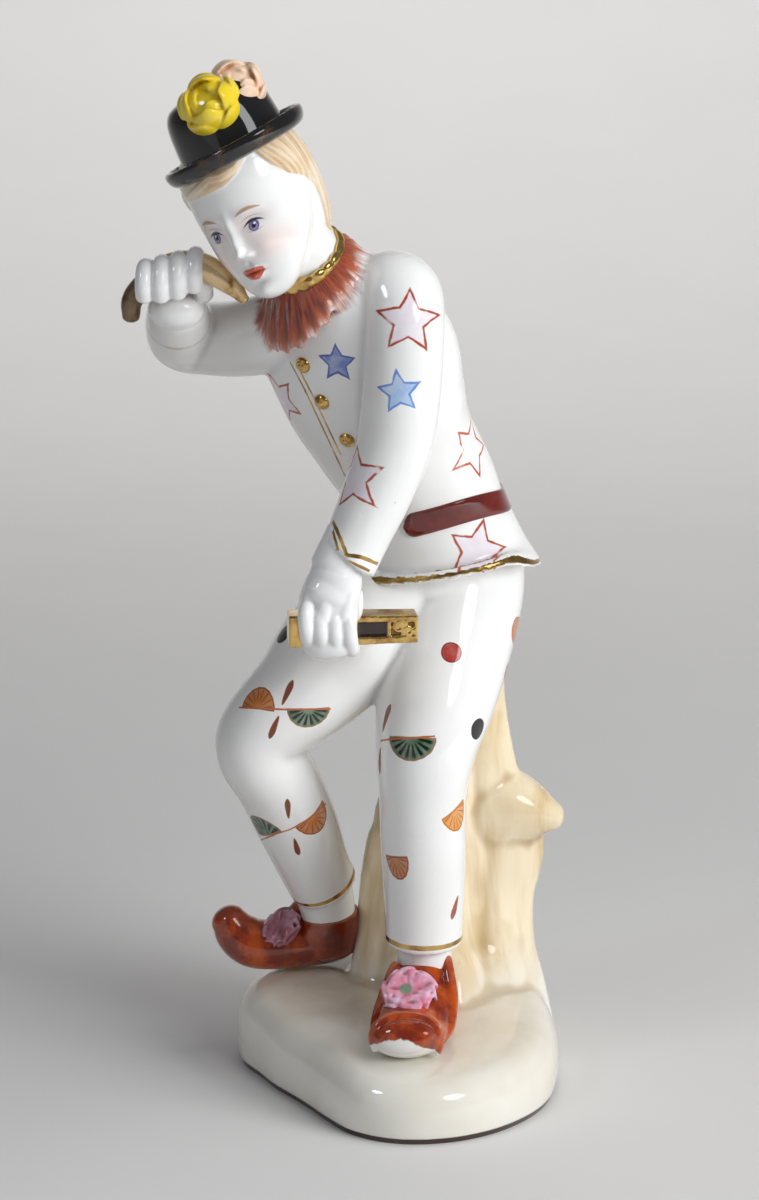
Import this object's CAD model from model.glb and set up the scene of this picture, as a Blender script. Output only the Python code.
import math

import bmesh
import bpy
import numpy as np
from mathutils import Matrix, Vector
from mathutils.bvhtree import BVHTree


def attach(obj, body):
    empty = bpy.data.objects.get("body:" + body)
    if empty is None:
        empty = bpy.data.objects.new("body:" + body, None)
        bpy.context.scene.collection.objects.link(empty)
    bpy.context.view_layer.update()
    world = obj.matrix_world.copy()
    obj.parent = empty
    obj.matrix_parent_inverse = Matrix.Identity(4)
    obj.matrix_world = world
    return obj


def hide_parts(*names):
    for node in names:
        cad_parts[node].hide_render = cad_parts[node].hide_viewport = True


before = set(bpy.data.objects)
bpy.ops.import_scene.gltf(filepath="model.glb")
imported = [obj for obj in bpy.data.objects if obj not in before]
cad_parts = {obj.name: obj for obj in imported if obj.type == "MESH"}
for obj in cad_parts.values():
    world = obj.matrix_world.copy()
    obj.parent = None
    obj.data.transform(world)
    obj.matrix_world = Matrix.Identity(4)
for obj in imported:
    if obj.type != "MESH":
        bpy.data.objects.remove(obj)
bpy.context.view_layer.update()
bpy.context.scene.view_settings.view_transform = "Standard"

mm = 0.001  # the tables below give millimetres, in the same frame as the solid

# Camera, at the photograph's place

camera = {
    "place": (-4, -700, 283),
    "looksAt": (-4, 0, 118),
    "lens": 93.0,
    "sensorWide": 36,
    "imageWide": 759,
    "imageHigh": 1200,
}


def newObject(name, data):
    obj = bpy.data.objects.new(name, data)
    bpy.context.scene.collection.objects.link(obj)
    return obj


def aim(obj, spot, target):
    # Put a camera or a light at a spot and turn it to its target; metres.
    obj.location = spot
    obj.rotation_euler = (Vector(target) - Vector(spot)).to_track_quat("-Z", "Y").to_euler()


def makeCamera(c):
    data = bpy.data.cameras.new("camera")
    data.lens = c["lens"]
    data.sensor_width = c["sensorWide"]
    data.clip_start = 0.01
    obj = newObject("camera", data)
    aim(obj, Vector(c["place"]) * mm, Vector(c["looksAt"]) * mm)
    bpy.context.scene.camera = obj
    bpy.context.view_layer.update()
    return obj


cameraObject = makeCamera(camera)


def sightLine(px, py, c=camera):
    # The ray through a place in the photograph, in its own pixels: (start, direction).
    focal = c["imageHigh"] * c["lens"] / c["sensorWide"]
    turn = cameraObject.matrix_world.to_3x3()
    away = turn @ Vector(((px - c["imageWide"] / 2) / focal, (c["imageHigh"] / 2 - py) / focal, -1))
    return Vector(c["place"]) * mm, away.normalized()


def sideLine(azimuth, height, across):
    # A ray from outside towards the figure's axis: azimuth 0 is the front, 90 its left; millimetres.
    turn = math.radians(azimuth)
    out = Vector((math.sin(turn), -math.cos(turn), 0))
    side = Vector((math.cos(turn), math.sin(turn), 0))
    return out * 0.3 + side * across * mm + Vector((0, 0, height * mm)), -out


# Surfaces


def smoothRows(rows, steps):
    # Rows of numbers joined by Catmull-Rom cubics: each span is a weighted sum of its four nearest rows.
    rows = np.asarray(rows, float)
    p = np.vstack([2 * rows[0] - rows[1], rows, 2 * rows[-1] - rows[-2]])
    t = (np.arange(steps) / steps)[None, :, None]
    a, b, c, d = (p[k : len(p) - 3 + k][:, None, :] for k in range(4))
    spans = 0.5 * (2 * b + (c - a) * t + (2 * a - 5 * b + 4 * c - d) * t**2 + (3 * b - a - 3 * c + d) * t**3)
    return np.vstack([spans.reshape(-1, rows.shape[1]), rows[-1]])


def smoothStep(values, low, high):
    # From 0 at low to 1 at high, as 3 t^2 - 2 t^3; low may be the larger.
    t = np.clip((values - low) / (high - low), 0, 1)
    return t * t * (3 - 2 * t)


def smoothLoop(outline, steps):
    # A closed outline through its points, by the same cubics.
    outline = np.asarray(outline, float)
    return smoothRows(np.vstack([outline[-1], outline, outline[0], outline[1]]), steps)[steps : -2 * steps]


def evenAngles(count):
    return np.arange(count) * 2 * math.pi / count


def spun(radius, height, angle):
    # Places at a radius and an angle round an upright axis, and at a height.
    return np.stack(np.broadcast_arrays(radius * np.cos(angle), radius * np.sin(angle), height), -1)


def unitBall(around, levels):
    # Places on a sphere: radius sin(level), height -cos(level), for levels from pole to pole.
    level = ((np.arange(levels) + 0.5) * math.pi / levels)[:, None]
    return spun(np.sin(level), -np.cos(level), evenAngles(around))


def placed(local, turn, middle):
    # Millimetres in a form's own frame, turned and moved to its middle, as metres.
    return (local @ np.array(turn).T + middle) * mm


def crossDirections(path, side):
    # Unit vectors along a path, across it as near to side as can be, and the third at right angles.
    along = np.gradient(path, axis=0)
    along /= np.linalg.norm(along, axis=1)[:, None]
    side = np.broadcast_to(np.asarray(side, float), path.shape)
    across = side - np.sum(along * side, axis=1)[:, None] * along
    across /= np.linalg.norm(across, axis=1)[:, None]
    return along, across, np.cross(along, across)


def gridFaces(rows, columns, closedRows=False):
    # Quads of a grid whose columns close on themselves.
    i = np.arange(rows if closedRows else rows - 1)[:, None]
    j = np.arange(columns)[None, :]
    a = i * columns + j
    b = i * columns + (j + 1) % columns
    c = ((i + 1) % rows) * columns + (j + 1) % columns
    d = ((i + 1) % rows) * columns + j
    return np.stack([a, b, c, d], -1).reshape(-1, 4).tolist()


def ringGrid(points):
    # A grid that closes both ways, as a ring of sections does.
    return points.reshape(-1, 3), gridFaces(*points.shape[:2], closedRows=True)


def closedGrid(rings):
    # A grid of rings with a point at each end: the first ring's middle and the last ring's middle.
    rows, columns = rings.shape[:2]
    points = np.vstack([rings.reshape(-1, 3), rings[0].mean(0), rings[-1].mean(0)])
    faces = gridFaces(rows, columns)
    j = np.arange(columns)
    k = (j + 1) % columns
    low, high = rows * columns, rows * columns + 1
    faces += np.stack([k, j, np.full(columns, low)], -1).tolist()
    last = (rows - 1) * columns
    faces += np.stack([last + j, last + k, np.full(columns, high)], -1).tolist()
    return points, faces


def limb(stations, side=(1, 0, 0), round=(0.7, 0.7), around=48, steps=10, ridges=None):
    # A rounded form along a path. Stations are x, y, z, half width and half depth in millimetres.
    # point = path + across * width * cos(angle) * ridges + front * depth * sin(angle) * ridges,
    # and each end closes in a quarter of an ellipse that bulges round half widths.
    rows = smoothRows(stations, steps)
    path, wide, deep = rows[:, :3], rows[:, 3], rows[:, 4]
    along, across, front = crossDirections(path, side)
    angle = evenAngles(around)
    share = np.linspace(0, 1, len(rows))
    reach = np.ones((len(rows), around)) if ridges is None else ridges(angle[None, :], share[:, None])
    rings = (
        path[:, None]
        + across[:, None] * (np.cos(angle) * wide[:, None] * reach)[..., None]
        + front[:, None] * (np.sin(angle) * deep[:, None] * reach)[..., None]
    )
    ends = []
    quarter = np.linspace(0, math.pi / 2, 9)[1:-1]
    for end, sign, bulge in ((0, -1, round[0]), (-1, 1, round[1])):
        rim, middle = rings[end], path[end]
        depth = sign * bulge * 0.5 * (wide[end] + deep[end])
        cap = (
            middle
            + (rim - middle)[None] * np.cos(quarter)[:, None, None]
            + (along[end] * depth)[None, None] * np.sin(quarter)[:, None, None]
        )
        ends.append(cap)
    return closedGrid(np.concatenate([ends[0][::-1], rings, ends[1]]) * mm)


def ball(middle, radii, turn=None, around=40, levels=24):
    # An ellipsoid: radii times the unit sphere, turned, and moved to its middle.
    return closedGrid(placed(unitBall(around, levels) * radii, turn or Matrix.Identity(3), middle))


def facing(up, forward):
    # A turn whose Z is up and whose -Y looks forward.
    z = Vector(up).normalized()
    y = -(Vector(forward) - Vector(forward).dot(z) * z).normalized()
    return Matrix((y.cross(z), y, z)).transposed()


def turned(profile, middle, turn, around=160, steps=6):
    # A closed outline of (radius, height) carried round an axis as a ring of sections.
    radius, height = smoothLoop(profile, steps).T
    return ringGrid(placed(spun(radius, height, evenAngles(around)[:, None]), turn, middle))


def closedMesh(name, forms):
    # One mesh from several (points, faces), with every face turned outwards.
    points, faces, count = [], [], 0
    for some, their in forms:
        points.append(some)
        faces += [[k + count for k in face] for face in their]
        count += len(some)
    mesh = bpy.data.meshes.new(name)
    mesh.from_pydata(np.vstack(points).tolist(), [], faces)
    bm = bmesh.new()
    bm.from_mesh(mesh)
    bmesh.ops.recalc_face_normals(bm, faces=bm.faces)
    bm.to_mesh(mesh)
    bm.free()
    return mesh


def fused(name, forms, voxel, passes=4):
    # Overlapping closed forms melted into one skin: a voxel lattice, then smoothing, as glaze does it.
    obj = newObject(name, closedMesh(name, forms))
    melt = obj.modifiers.new("melt", "REMESH")
    melt.mode = "VOXEL"
    melt.voxel_size = voxel * mm
    soften = obj.modifiers.new("soften", "SMOOTH")
    soften.factor = 0.5
    soften.iterations = passes
    bpy.context.view_layer.update()
    done = bpy.data.meshes.new_from_object(obj.evaluated_get(bpy.context.evaluated_depsgraph_get()))
    bpy.data.objects.remove(obj)
    return done


def showMesh(name, mesh, material):
    # A smooth object with one material.
    mesh.name = name
    mesh.materials.clear()
    mesh.materials.append(material)
    mesh.polygons.foreach_set("use_smooth", np.ones(len(mesh.polygons), bool))
    return newObject(name, mesh)


def addPiece(name, mesh, material):
    # Show a mesh as a piece of the figurine, smooth, with its hollows marked for the glaze.
    obj = showMesh(name, mesh, material)
    markHollows(mesh)
    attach(obj, "root")
    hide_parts("figurine")
    print("piece", name, sum(len(p.vertices) - 2 for p in mesh.polygons), "triangles")


def markHollows(mesh, passes=3):
    # Attribute hollow: how far each point lies below the mean of its neighbours, along its normal, in mm.
    count = len(mesh.vertices)
    points = pointsOf(mesh)
    edges = np.zeros(len(mesh.edges) * 2, int)
    mesh.edges.foreach_get("vertices", edges)
    a, b = edges.reshape(-1, 2).T
    degree = np.bincount(a, minlength=count) + np.bincount(b, minlength=count)

    def mean(values):
        total = np.bincount(a, values[b], count) + np.bincount(b, values[a], count)
        return total / np.maximum(degree, 1)

    flat = points.copy()
    for _ in range(passes * 4):
        flat = np.stack([mean(flat[:, k]) for k in range(3)], -1)
    hollow = np.sum((flat - points) * normalsOf(mesh), axis=1)
    for _ in range(passes):
        hollow = mean(hollow)
    addField(mesh, "hollow", hollow)


def nearestOnPath(points, path):
    # For each point: its nearest piece of the path, how far along the path that is, and the way from there to
    # the point; and the path's length. The first and last pieces run on past the ends.
    step = path[1:] - path[:-1]
    pace = np.concatenate([[0], np.cumsum(np.linalg.norm(step, axis=1))])
    near = np.full(len(points), 1e9)
    piece = np.zeros(len(points), int)
    along = np.zeros(len(points))
    away = np.zeros((len(points), 3))
    for k in range(len(step)):
        low, high = (-9 if k == 0 else 0), (9 if k == len(step) - 1 else 1)
        share = np.clip((points - path[k]) @ step[k] / (step[k] @ step[k]), low, high)
        reach = points - path[k] - share[:, None] * step[k]
        off = np.linalg.norm(reach, axis=1)
        closer = off < near
        near[closer] = off[closer]
        piece[closer] = k
        along[closer] = (pace[k] + share * (pace[k + 1] - pace[k]))[closer]
        away[closer] = reach[closer]
    return piece, along, away, pace[-1]


def alongLimb(points, stations):
    # For each point: how far along the limb its nearest middle lies from the last station, and how far off.
    _, along, away, length = nearestOnPath(points, smoothRows(stations, 14)[:, :3])
    return length - along, np.linalg.norm(away, axis=1)


def addField(mesh, name, values):
    layer = mesh.attributes.new(name, "FLOAT", "POINT")
    layer.data.foreach_set("value", np.asarray(values, np.float32))


def pointsOf(mesh):
    # In millimetres.
    points = np.zeros(len(mesh.vertices) * 3)
    mesh.vertices.foreach_get("co", points)
    return points.reshape(-1, 3) / mm


def normalsOf(mesh):
    normals = np.zeros(len(mesh.vertices) * 3, np.float32)
    mesh.vertex_normals.foreach_get("vector", normals)
    return normals.reshape(-1, 3)


def movePoints(mesh, points):
    mesh.vertices.foreach_set("co", points.ravel())
    mesh.update()


def surfaceOf(mesh):
    # What rays are cast on to place the painting.
    return BVHTree.FromPolygons(
        [v.co[:] for v in mesh.vertices], [p.vertices[:] for p in mesh.polygons], epsilon=0.0
    )


def decalPlace(surface, ray, turn=0.0):
    # Where a ray meets a surface: middle, right and up, with up turned anticlockwise by turn degrees.
    spot, normal, _, _ = surface.ray_cast(*ray)
    if normal.dot(ray[1]) > 0:
        normal = -normal
    up = Vector((0, 0, 1)) if abs(normal.z) < 0.95 else Vector((0, 1, 0))
    up = (up - up.dot(normal) * normal).normalized()
    right = up.cross(normal)
    spin = Matrix.Rotation(math.radians(turn), 3, normal)
    return spot, spin @ right, spin @ up


# Node helpers


class Field:
    # A value socket that can be added, multiplied and so on, each step being one Math node.

    def __init__(self, tree, socket):
        self.tree, self.socket = tree, socket

    def math(self, operation, *others):
        node = self.tree.nodes.new("ShaderNodeMath")
        node.operation = operation
        for slot, value in zip(node.inputs, (self, *others)):
            plug(self.tree, slot, value)
        return Field(self.tree, node.outputs[0])

    def __add__(self, other):
        return self.math("ADD", other)

    def __sub__(self, other):
        return self.math("SUBTRACT", other)

    def __mul__(self, other):
        return self.math("MULTIPLY", other)

    def __truediv__(self, other):
        return self.math("DIVIDE", other)

    def flip(self):
        # One minus this.
        return self.math("MULTIPLY_ADD", -1.0, 1.0)

    def size(self):
        return self.math("ABSOLUTE")

    def step(self, low, high):
        # Smoothly from 0 at low to 1 at high; low may be the larger.
        node = self.tree.nodes.new("ShaderNodeMapRange")
        node.interpolation_type = "SMOOTHSTEP"
        plug(self.tree, node.inputs["Value"], self)
        plug(self.tree, node.inputs["From Min"], low)
        plug(self.tree, node.inputs["From Max"], high)
        return Field(self.tree, node.outputs["Result"])


def plug(tree, slot, value):
    if isinstance(value, Field):
        value = value.socket
    if isinstance(value, bpy.types.NodeSocket):
        tree.links.new(value, slot)
    elif isinstance(value, (tuple, Vector)) and len(value) == 3 and slot.type == "RGBA":
        slot.default_value = (*value, 1)
    else:
        slot.default_value = value


def place(tree, kind, inputs=None, **settings):
    node = tree.nodes.new(kind)
    for key, value in settings.items():
        setattr(node, key, value)
    for key, value in (inputs or {}).items():
        plug(tree, node.inputs[key], value)
    return node


def noise(tree, vector, scale, detail=3.0, rough=0.5, stretch=None, warp=0.0):
    # Noise from 0 to 1 at so many waves per metre; stretch squeezes it along x, y and z.
    if stretch:
        vector = place(tree, "ShaderNodeMapping", {"Vector": vector, "Scale": stretch}).outputs[0]
    node = place(
        tree,
        "ShaderNodeTexNoise",
        {"Vector": vector, "Scale": scale, "Detail": detail, "Roughness": rough, "Distortion": warp},
    )
    return Field(tree, node.outputs["Fac"])


def blendColor(tree, share, one, two):
    node = place(tree, "ShaderNodeMix", data_type="RGBA")
    plug(tree, node.inputs[0], share)
    plug(tree, node.inputs[6], one)
    plug(tree, node.inputs[7], two)
    return node.outputs[2]


def band(field, low, high, soft=0.08):
    # One between two values of a field, in its own unit, zero outside.
    return field.step(low - soft, low + soft) * field.step(high + soft, high - soft)


def newGroup(name, takes, gives):
    tree = bpy.data.node_groups.new(name, "ShaderNodeTree")
    kinds = {"vector": "NodeSocketVector", "color": "NodeSocketColor", "value": "NodeSocketFloat"}
    for label, kind, start in takes:
        socket = tree.interface.new_socket(label, in_out="INPUT", socket_type=kinds[kind])
        if start is not None:
            socket.default_value = start
    for label, kind in gives:
        tree.interface.new_socket(label, in_out="OUTPUT", socket_type=kinds[kind])
    return tree, tree.nodes.new("NodeGroupInput"), tree.nodes.new("NodeGroupOutput")


def useGroup(tree, group, inputs):
    node = tree.nodes.new("ShaderNodeGroup")
    node.node_tree = group
    for key, value in inputs.items():
        plug(tree, node.inputs[key], value)
    return node


def attributeField(tree, name):
    return Field(tree, place(tree, "ShaderNodeAttribute", attribute_name=name).outputs["Fac"])


def split(tree, vector):
    node = place(tree, "ShaderNodeSeparateXYZ", {0: vector})
    return [Field(tree, node.outputs[k]) for k in range(3)]


def localPlace(tree, where, middle, turn):
    # Across, back and up from a piece's middle, in its own turned frame and in millimetres.
    inputs = {"Vector": where, "Location": Vector(middle) * mm, "Rotation": turn.to_euler()}
    local = place(tree, "ShaderNodeMapping", inputs, vector_type="TEXTURE").outputs[0]
    return [part * 1000.0 for part in split(tree, local)]


def vectorMath(tree, operation, a, b):
    return place(tree, "ShaderNodeVectorMath", {0: a, 1: b}, operation=operation)


def dot(tree, a, b):
    return Field(tree, vectorMath(tree, "DOT_PRODUCT", a, b).outputs["Value"])


def reachOf(x, y):
    return (x * x + y * y).math("SQRT")


def setSurface(tree, shader, color, metallic, rough, height, distance, strength=0.5):
    # What every surface here sets on its own shader.
    plug(tree, shader.inputs["Base Color"], color)
    plug(tree, shader.inputs["Metallic"], metallic)
    plug(tree, shader.inputs["Roughness"], rough)
    bump = place(tree, "ShaderNodeBump", {"Height": height, "Distance": distance, "Strength": strength})
    plug(tree, shader.inputs["Normal"], bump.outputs[0])


# Paint groups: each gives a Fill mask and a Line mask in the decal's own plane


def flatPlace(tree, given, wobble):
    # Across and up in a decal's plane, in radii, a little unsteady as a hand is; and a mask of nearness.
    where, middle, right, above, radius = (
        given.outputs[key] for key in ("Position", "Middle", "Right", "Up", "Radius")
    )
    away = vectorMath(tree, "SUBTRACT", where, middle).outputs[0]
    through = vectorMath(tree, "CROSS_PRODUCT", right, above).outputs[0]
    across, up, depth = (dot(tree, away, side) / radius for side in (right, above, through))
    shake = noise(tree, where, 420, 1.0) - 0.5
    sway = noise(tree, where, 330, 1.0) - 0.5
    return across + shake * wobble, up + sway * wobble, depth.size().step(1.25, 1.15)


decalInputs = [
    ("Position", "vector", None),
    ("Middle", "vector", None),
    ("Right", "vector", (1, 0, 0)),
    ("Up", "vector", (0, 0, 1)),
    ("Radius", "value", 0.005),
    ("Line", "value", 0.08),
    ("Shape", "value", 1.0),  # how deep a fan is, how wide a petal is
    ("Rib", "value", 0.2),  # half the width of a fan's ribs, as a share of their spacing
]
decalOutputs = [("Fill", "value"), ("Mark", "value"), ("Line", "value")]


def paintGroup(name, wobble, masksOf):
    tree, given, out = newGroup("painted " + name, decalInputs, decalOutputs)
    across, up, near = flatPlace(tree, given, wobble)
    masks = masksOf(tree, given.outputs, across, up, Field(tree, given.outputs["Line"]))
    for key, mask in masks.items():
        plug(tree, out.inputs[key], mask * near)
    return tree


def starMasks(tree, given, across, up, line):
    # Five points: the angle is folded into one tenth of a turn, where the edge is a straight line.
    tenth = math.pi / 5
    angle = across.math("ARCTAN2", up).math("PINGPONG", tenth)
    reach = reachOf(across, up)
    x, y = reach * angle.math("COSINE"), reach * angle.math("SINE")
    notch = 0.5
    edge = Vector((notch * math.cos(tenth) - 1, notch * math.sin(tenth))).normalized()
    off = (x - 1.0) * edge.y + y * -edge.x
    uneven = noise(tree, given["Position"], 500, 2.0).step(0.2, 0.75) * 0.7 + 0.55
    dry = noise(tree, given["Position"], 190, 1.0).step(0.27, 0.36)
    return {"Fill": off.step(0.0, -0.04), "Line": (off.size() - line * uneven).step(0.02, -0.02) * dry}


def fanMasks(tree, given, across, up, line):
    # A deep half disc above its base line: wedge ribs spread from the middle, and a line binds the edge.
    up = up / given["Shape"]
    reach = reachOf(across, up)
    angle = up.math("ARCTAN2", across)
    rib = (angle * (8 / math.pi)).math("FRACT") - 0.5
    width = Field(tree, given["Rib"])
    ribs = rib.size().step(width, width * 0.55) * band(reach, 0.3, 0.9, 0.1)
    scallop = (rib * rib * -0.07) + 1.0
    rim = (reach - scallop).size().step(line * 1.2, line * 0.5)
    base = up.size().step(line * 1.1, line * 0.4)
    inside = (reach - scallop).step(0.04, 0.0) * up.step(-0.06, 0.0)
    return {"Fill": inside, "Mark": ribs * inside, "Line": rim.math("MAXIMUM", base) * inside}


def petalMasks(tree, given, across, up, line):
    # A brush dab, pointed where it starts and round where it ends: width = way^0.55 * (1 - way^6) * shape.
    way = (up + 1.0) * 0.5
    full = way.math("MAXIMUM", 0.0)
    width = full.math("POWER", 0.55) * full.math("POWER", 6.0).flip() * given["Shape"]
    off = across.size() - width
    inside = off.step(0.02, -0.03) * way.step(0.0, 0.04) * way.step(1.0, 0.97)
    return {"Fill": inside, "Line": off.size().step(line, line * 0.3) * inside}


def dotMasks(tree, given, across, up, line):
    reach = reachOf(across, up)
    return {"Fill": reach.step(1.0, 0.93), "Line": (reach - 0.97).size().step(line, line * 0.3)}


paintGroups = {
    "star": paintGroup("star", 0.06, starMasks),
    "fan": paintGroup("fan", 0.05, fanMasks),
    "petal": paintGroup("petal", 0.06, petalMasks),
    "dot": paintGroup("dot", 0.1, dotMasks),
}


# Glaze: shared by everything that is porcelain


def glazeGroup():
    # Clear glaze over white ware: it pools darker in hollows, thins pale on ridges, and has specks and pits.
    # tone = base * (1 - pool * hollow) with slow clouds; height = slow waves + fine orange peel + rare pits.
    takes = [
        ("Position", "vector", None),
        ("Base", "color", (0.9, 0.89, 0.86, 1)),
        ("Pool", "color", (0.55, 0.5, 0.42, 1)),
        ("Pooling", "value", 0.5),
        ("Cloud", "value", 0.06),
        ("Specks", "value", 0.5),
    ]
    gives = [("Color", "color"), ("Roughness", "value"), ("Height", "value")]
    tree, given, out = newGroup("porcelain glaze", takes, gives)
    where = given.outputs["Position"]
    wet = attributeField(tree, "hollow").step(0.0, 0.35) * Field(tree, given.outputs["Pooling"])
    color = blendColor(tree, wet, given.outputs["Base"], given.outputs["Pool"])
    clouds = noise(tree, where, 38, 4.0, 0.6)
    color = blendColor(tree, clouds.step(0.35, 0.8) * given.outputs["Cloud"], color, (0.52, 0.45, 0.34))
    spots = place(tree, "ShaderNodeTexVoronoi", {"Vector": where, "Scale": 160.0, "Randomness": 1.0})
    chance = place(tree, "ShaderNodeTexWhiteNoise", {"Vector": spots.outputs["Position"]})
    rare = Field(tree, chance.outputs["Value"])
    near = Field(tree, spots.outputs["Distance"])
    speck = near.step(0.05, 0.02) * rare.step(0.9, 0.93) * given.outputs["Specks"]
    color = blendColor(tree, speck, color, (0.16, 0.11, 0.07))
    plug(tree, out.inputs["Color"], color)
    plug(tree, out.inputs["Roughness"], noise(tree, where, 60, 2.0) * 0.05 + 0.05)
    waves = noise(tree, where, 70, 2.0) * 0.7 + noise(tree, where, 900, 2.0) * 0.03
    pits = near.step(0.06, 0.0) * rare.step(0.16, 0.12)
    plug(tree, out.inputs["Height"], waves - pits * 0.4)
    return tree


glaze = glazeGroup()


def newMaterial(name):
    material = bpy.data.materials.new(name)
    material.use_nodes = True
    tree = material.node_tree
    shader = tree.nodes["Principled BSDF"]
    shader.inputs["IOR"].default_value = 1.5
    shader.inputs["Coat Weight"].default_value = 0.6
    shader.inputs["Coat Roughness"].default_value = 0.03
    return material, tree, shader


white = (0.87, 0.87, 0.86)
whitePool = (0.55, 0.54, 0.55)


def objectPlace(tree):
    return place(tree, "ShaderNodeTexCoord").outputs["Object"]


def glazed(name, base, pool, pooling=0.5, cloud=0.08, specks=0.5, paint=None):
    # A glazed material. paint(tree, where, color) may lay paint over the ware and give (color, gold mask).
    material, tree, shader = newMaterial(name)
    where = objectPlace(tree)
    ware = useGroup(
        tree, glaze,
        {"Position": where, "Base": base, "Pool": pool, "Pooling": pooling, "Cloud": cloud, "Specks": specks},
    )
    color, gold = ware.outputs["Color"], None
    rough = Field(tree, ware.outputs["Roughness"])
    metallic = 0.0
    if paint:
        color, gold = paint(tree, where, color)
    if gold is not None:
        worn = noise(tree, where, 1400, 3.0, 0.7).step(0.2, 0.42)
        gold = gold * (worn * 0.25 + 0.75)
        shade = noise(tree, where, 260, 2.0).step(0.3, 0.7)
        leaf = blendColor(tree, shade, (0.36, 0.2, 0.045), (0.72, 0.47, 0.13))
        color = blendColor(tree, gold, color, leaf)
        metallic = gold * 0.9
        rough = rough + gold * 0.12
    setSurface(tree, shader, color, metallic, rough, ware.outputs["Height"], 0.0004)
    return material


def enamel(name, paint):
    # A glazed material that its paint covers altogether.
    return glazed(name, white, whitePool, paint=paint)


def paintDecals(tree, where, color, decals):
    # Lay decals over a colour: fill, then ribs, then outline, each a mask from the decal's own group.
    for kind, (middle, right, up), radius, paint, shape in decals:
        inputs = {"Position": where, "Middle": middle, "Right": right, "Up": up, "Radius": radius * mm}
        inputs.update({"Line": paint["line"] / radius, "Shape": shape, "Rib": paint.get("rib", 0.2)})
        node = useGroup(tree, paintGroups[kind], inputs)
        wash = noise(tree, where, 300, 3.0, 0.6).step(0.25, 0.75) * paint["wash"] + (1.0 - paint["wash"])
        fill = Field(tree, node.outputs["Fill"]) * wash * paint["cover"]
        color = blendColor(tree, fill, color, paint["fill"])
        if kind == "fan":
            color = blendColor(tree, node.outputs["Mark"], color, paint["mark"])
        color = blendColor(tree, node.outputs["Line"], color, paint["edge"])
    return color


def lineMask(tree, where, name, half):
    # A brush line that drawLine has put on the mesh, half so many millimetres wide and a little uneven.
    across = attributeField(tree, name + "-across").size()
    uneven = (noise(tree, where, 700, 1.0) * 0.7 + 0.65) * half
    return across.step(uneven * 1.12, uneven * 0.8) * attributeField(tree, name + "-along").step(-0.12, 0.12)

# Base: mound and stump

base = {
    "outline": (  # how far the foot reaches every 15 degrees, from +x towards +y
        38.2, 38.6, 38.8, 38.8, 39, 39, 39, 39.2, 39.6, 40.8, 42.2, 39.2,
        33, 30, 28.4, 29, 32.2, 37.4, 40.7, 41.7, 41.5, 40.7, 39.9, 38.9,
    ),
    "levels": (  # height of the wall, and how far it has come in
        (-6, 0.6), (0, 0.2), (3, -0.4), (7, -0.6), (10.5, 0.2), (13, 2), (14.6, 5), (15.3, 10), (15.6, 18),
    ),
    "ground": 19,
    "slope": 0.1,
    "footHeight": 1.4,
    "footInset": 0.6,
    "stump": (
        (12.4, 17, 3, 25, 22.5), (12.2, 19.5, 15, 22.8, 20), (12, 23, 27, 20.6, 16.5),
        (12.8, 25, 41, 20, 14.5), (15, 26, 52, 20.2, 13.5), (14.8, 26, 61, 18, 12.8),
        (15.4, 26, 72, 13.8, 11.5), (16, 26.5, 87, 10.6, 9.5), (16, 26, 98, 10, 9), (15.5, 24, 110, 8, 8),
    ),
    "branch": (
        (14, 25.5, 58, 13, 10.5), (22, 24, 59.4, 12.6, 10), (28.5, 22.8, 60.2, 10.4, 8.6),
        (34, 21.6, 59.8, 7, 6.6), (38.3, 20.8, 59, 3.6, 4),
    ),
    "voxel": 0.72,
}


def moundForm(b, around=144):
    # Rings of the outline drawn in level by level; each ring's height leans with the ground's slope.
    angle = evenAngles(around)
    reach = np.asarray(b["outline"], float)
    loop = np.concatenate([reach[-1:], reach, reach[:2]])[:, None]
    reach = smoothRows(loop, around // 24)[around // 24 : around // 24 + around, 0]
    levels = smoothRows(b["levels"], 6)
    out = reach[None, :] - levels[:, 1:]
    x, y = out * np.cos(angle), out * np.sin(angle)
    lift = np.maximum(levels[:, :1], 0) / levels[-1, 0]
    z = levels[:, :1] + lift * (b["ground"] - levels[-1, 0] + b["slope"] * y)
    return closedGrid(np.stack([x, y, z], -1) * mm)


def bark(angle, share):
    # Ribs that twist up the trunk and spread at its foot, with fine channels between them.
    spread = 0.05 + 0.05 * (1 - share)
    ribs = spread * np.cos(5 * angle + 1.1 + 2 * share) + 0.03 * np.cos(9 * angle + 4 * share)
    fine = 0.006 * np.cos(23 * angle + 9 * share + 1.5 * np.sin(14 * share))
    return 1 + ribs + fine


def standOnFoot(mesh, b):
    # Cut the skin level above the floor, and draw a narrower foot down to it.
    bm = bmesh.new()
    bm.from_mesh(mesh)
    height, inset = b["footHeight"] * mm, b["footInset"] * mm
    bmesh.ops.bisect_plane(
        bm, geom=bm.verts[:] + bm.edges[:] + bm.faces[:], dist=1e-7,
        plane_co=(0, 0, height), plane_no=(0, 0, 1), clear_inner=True,
    )
    bmesh.ops.remove_doubles(bm, verts=[v for v in bm.verts if v.is_boundary], dist=0.02 * mm)
    edge = [e for e in bm.edges if e.is_boundary]
    for drawIn, z in ((inset, height), (0, 0)):
        made = bmesh.ops.extrude_edge_only(bm, edges=edge)["geom"]
        for vert in (v for v in made if isinstance(v, bmesh.types.BMVert)):
            flat = Vector((vert.co.x, vert.co.y, 0))
            vert.co = flat - flat.normalized() * drawIn + Vector((0, 0, z))
        edge = [e for e in made if isinstance(e, bmesh.types.BMEdge)]
    bmesh.ops.contextual_create(bm, geom=edge)
    bmesh.ops.triangulate(bm, faces=[f for f in bm.faces if len(f.verts) > 4])
    bmesh.ops.recalc_face_normals(bm, faces=bm.faces)
    bm.to_mesh(mesh)
    bm.free()


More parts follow.
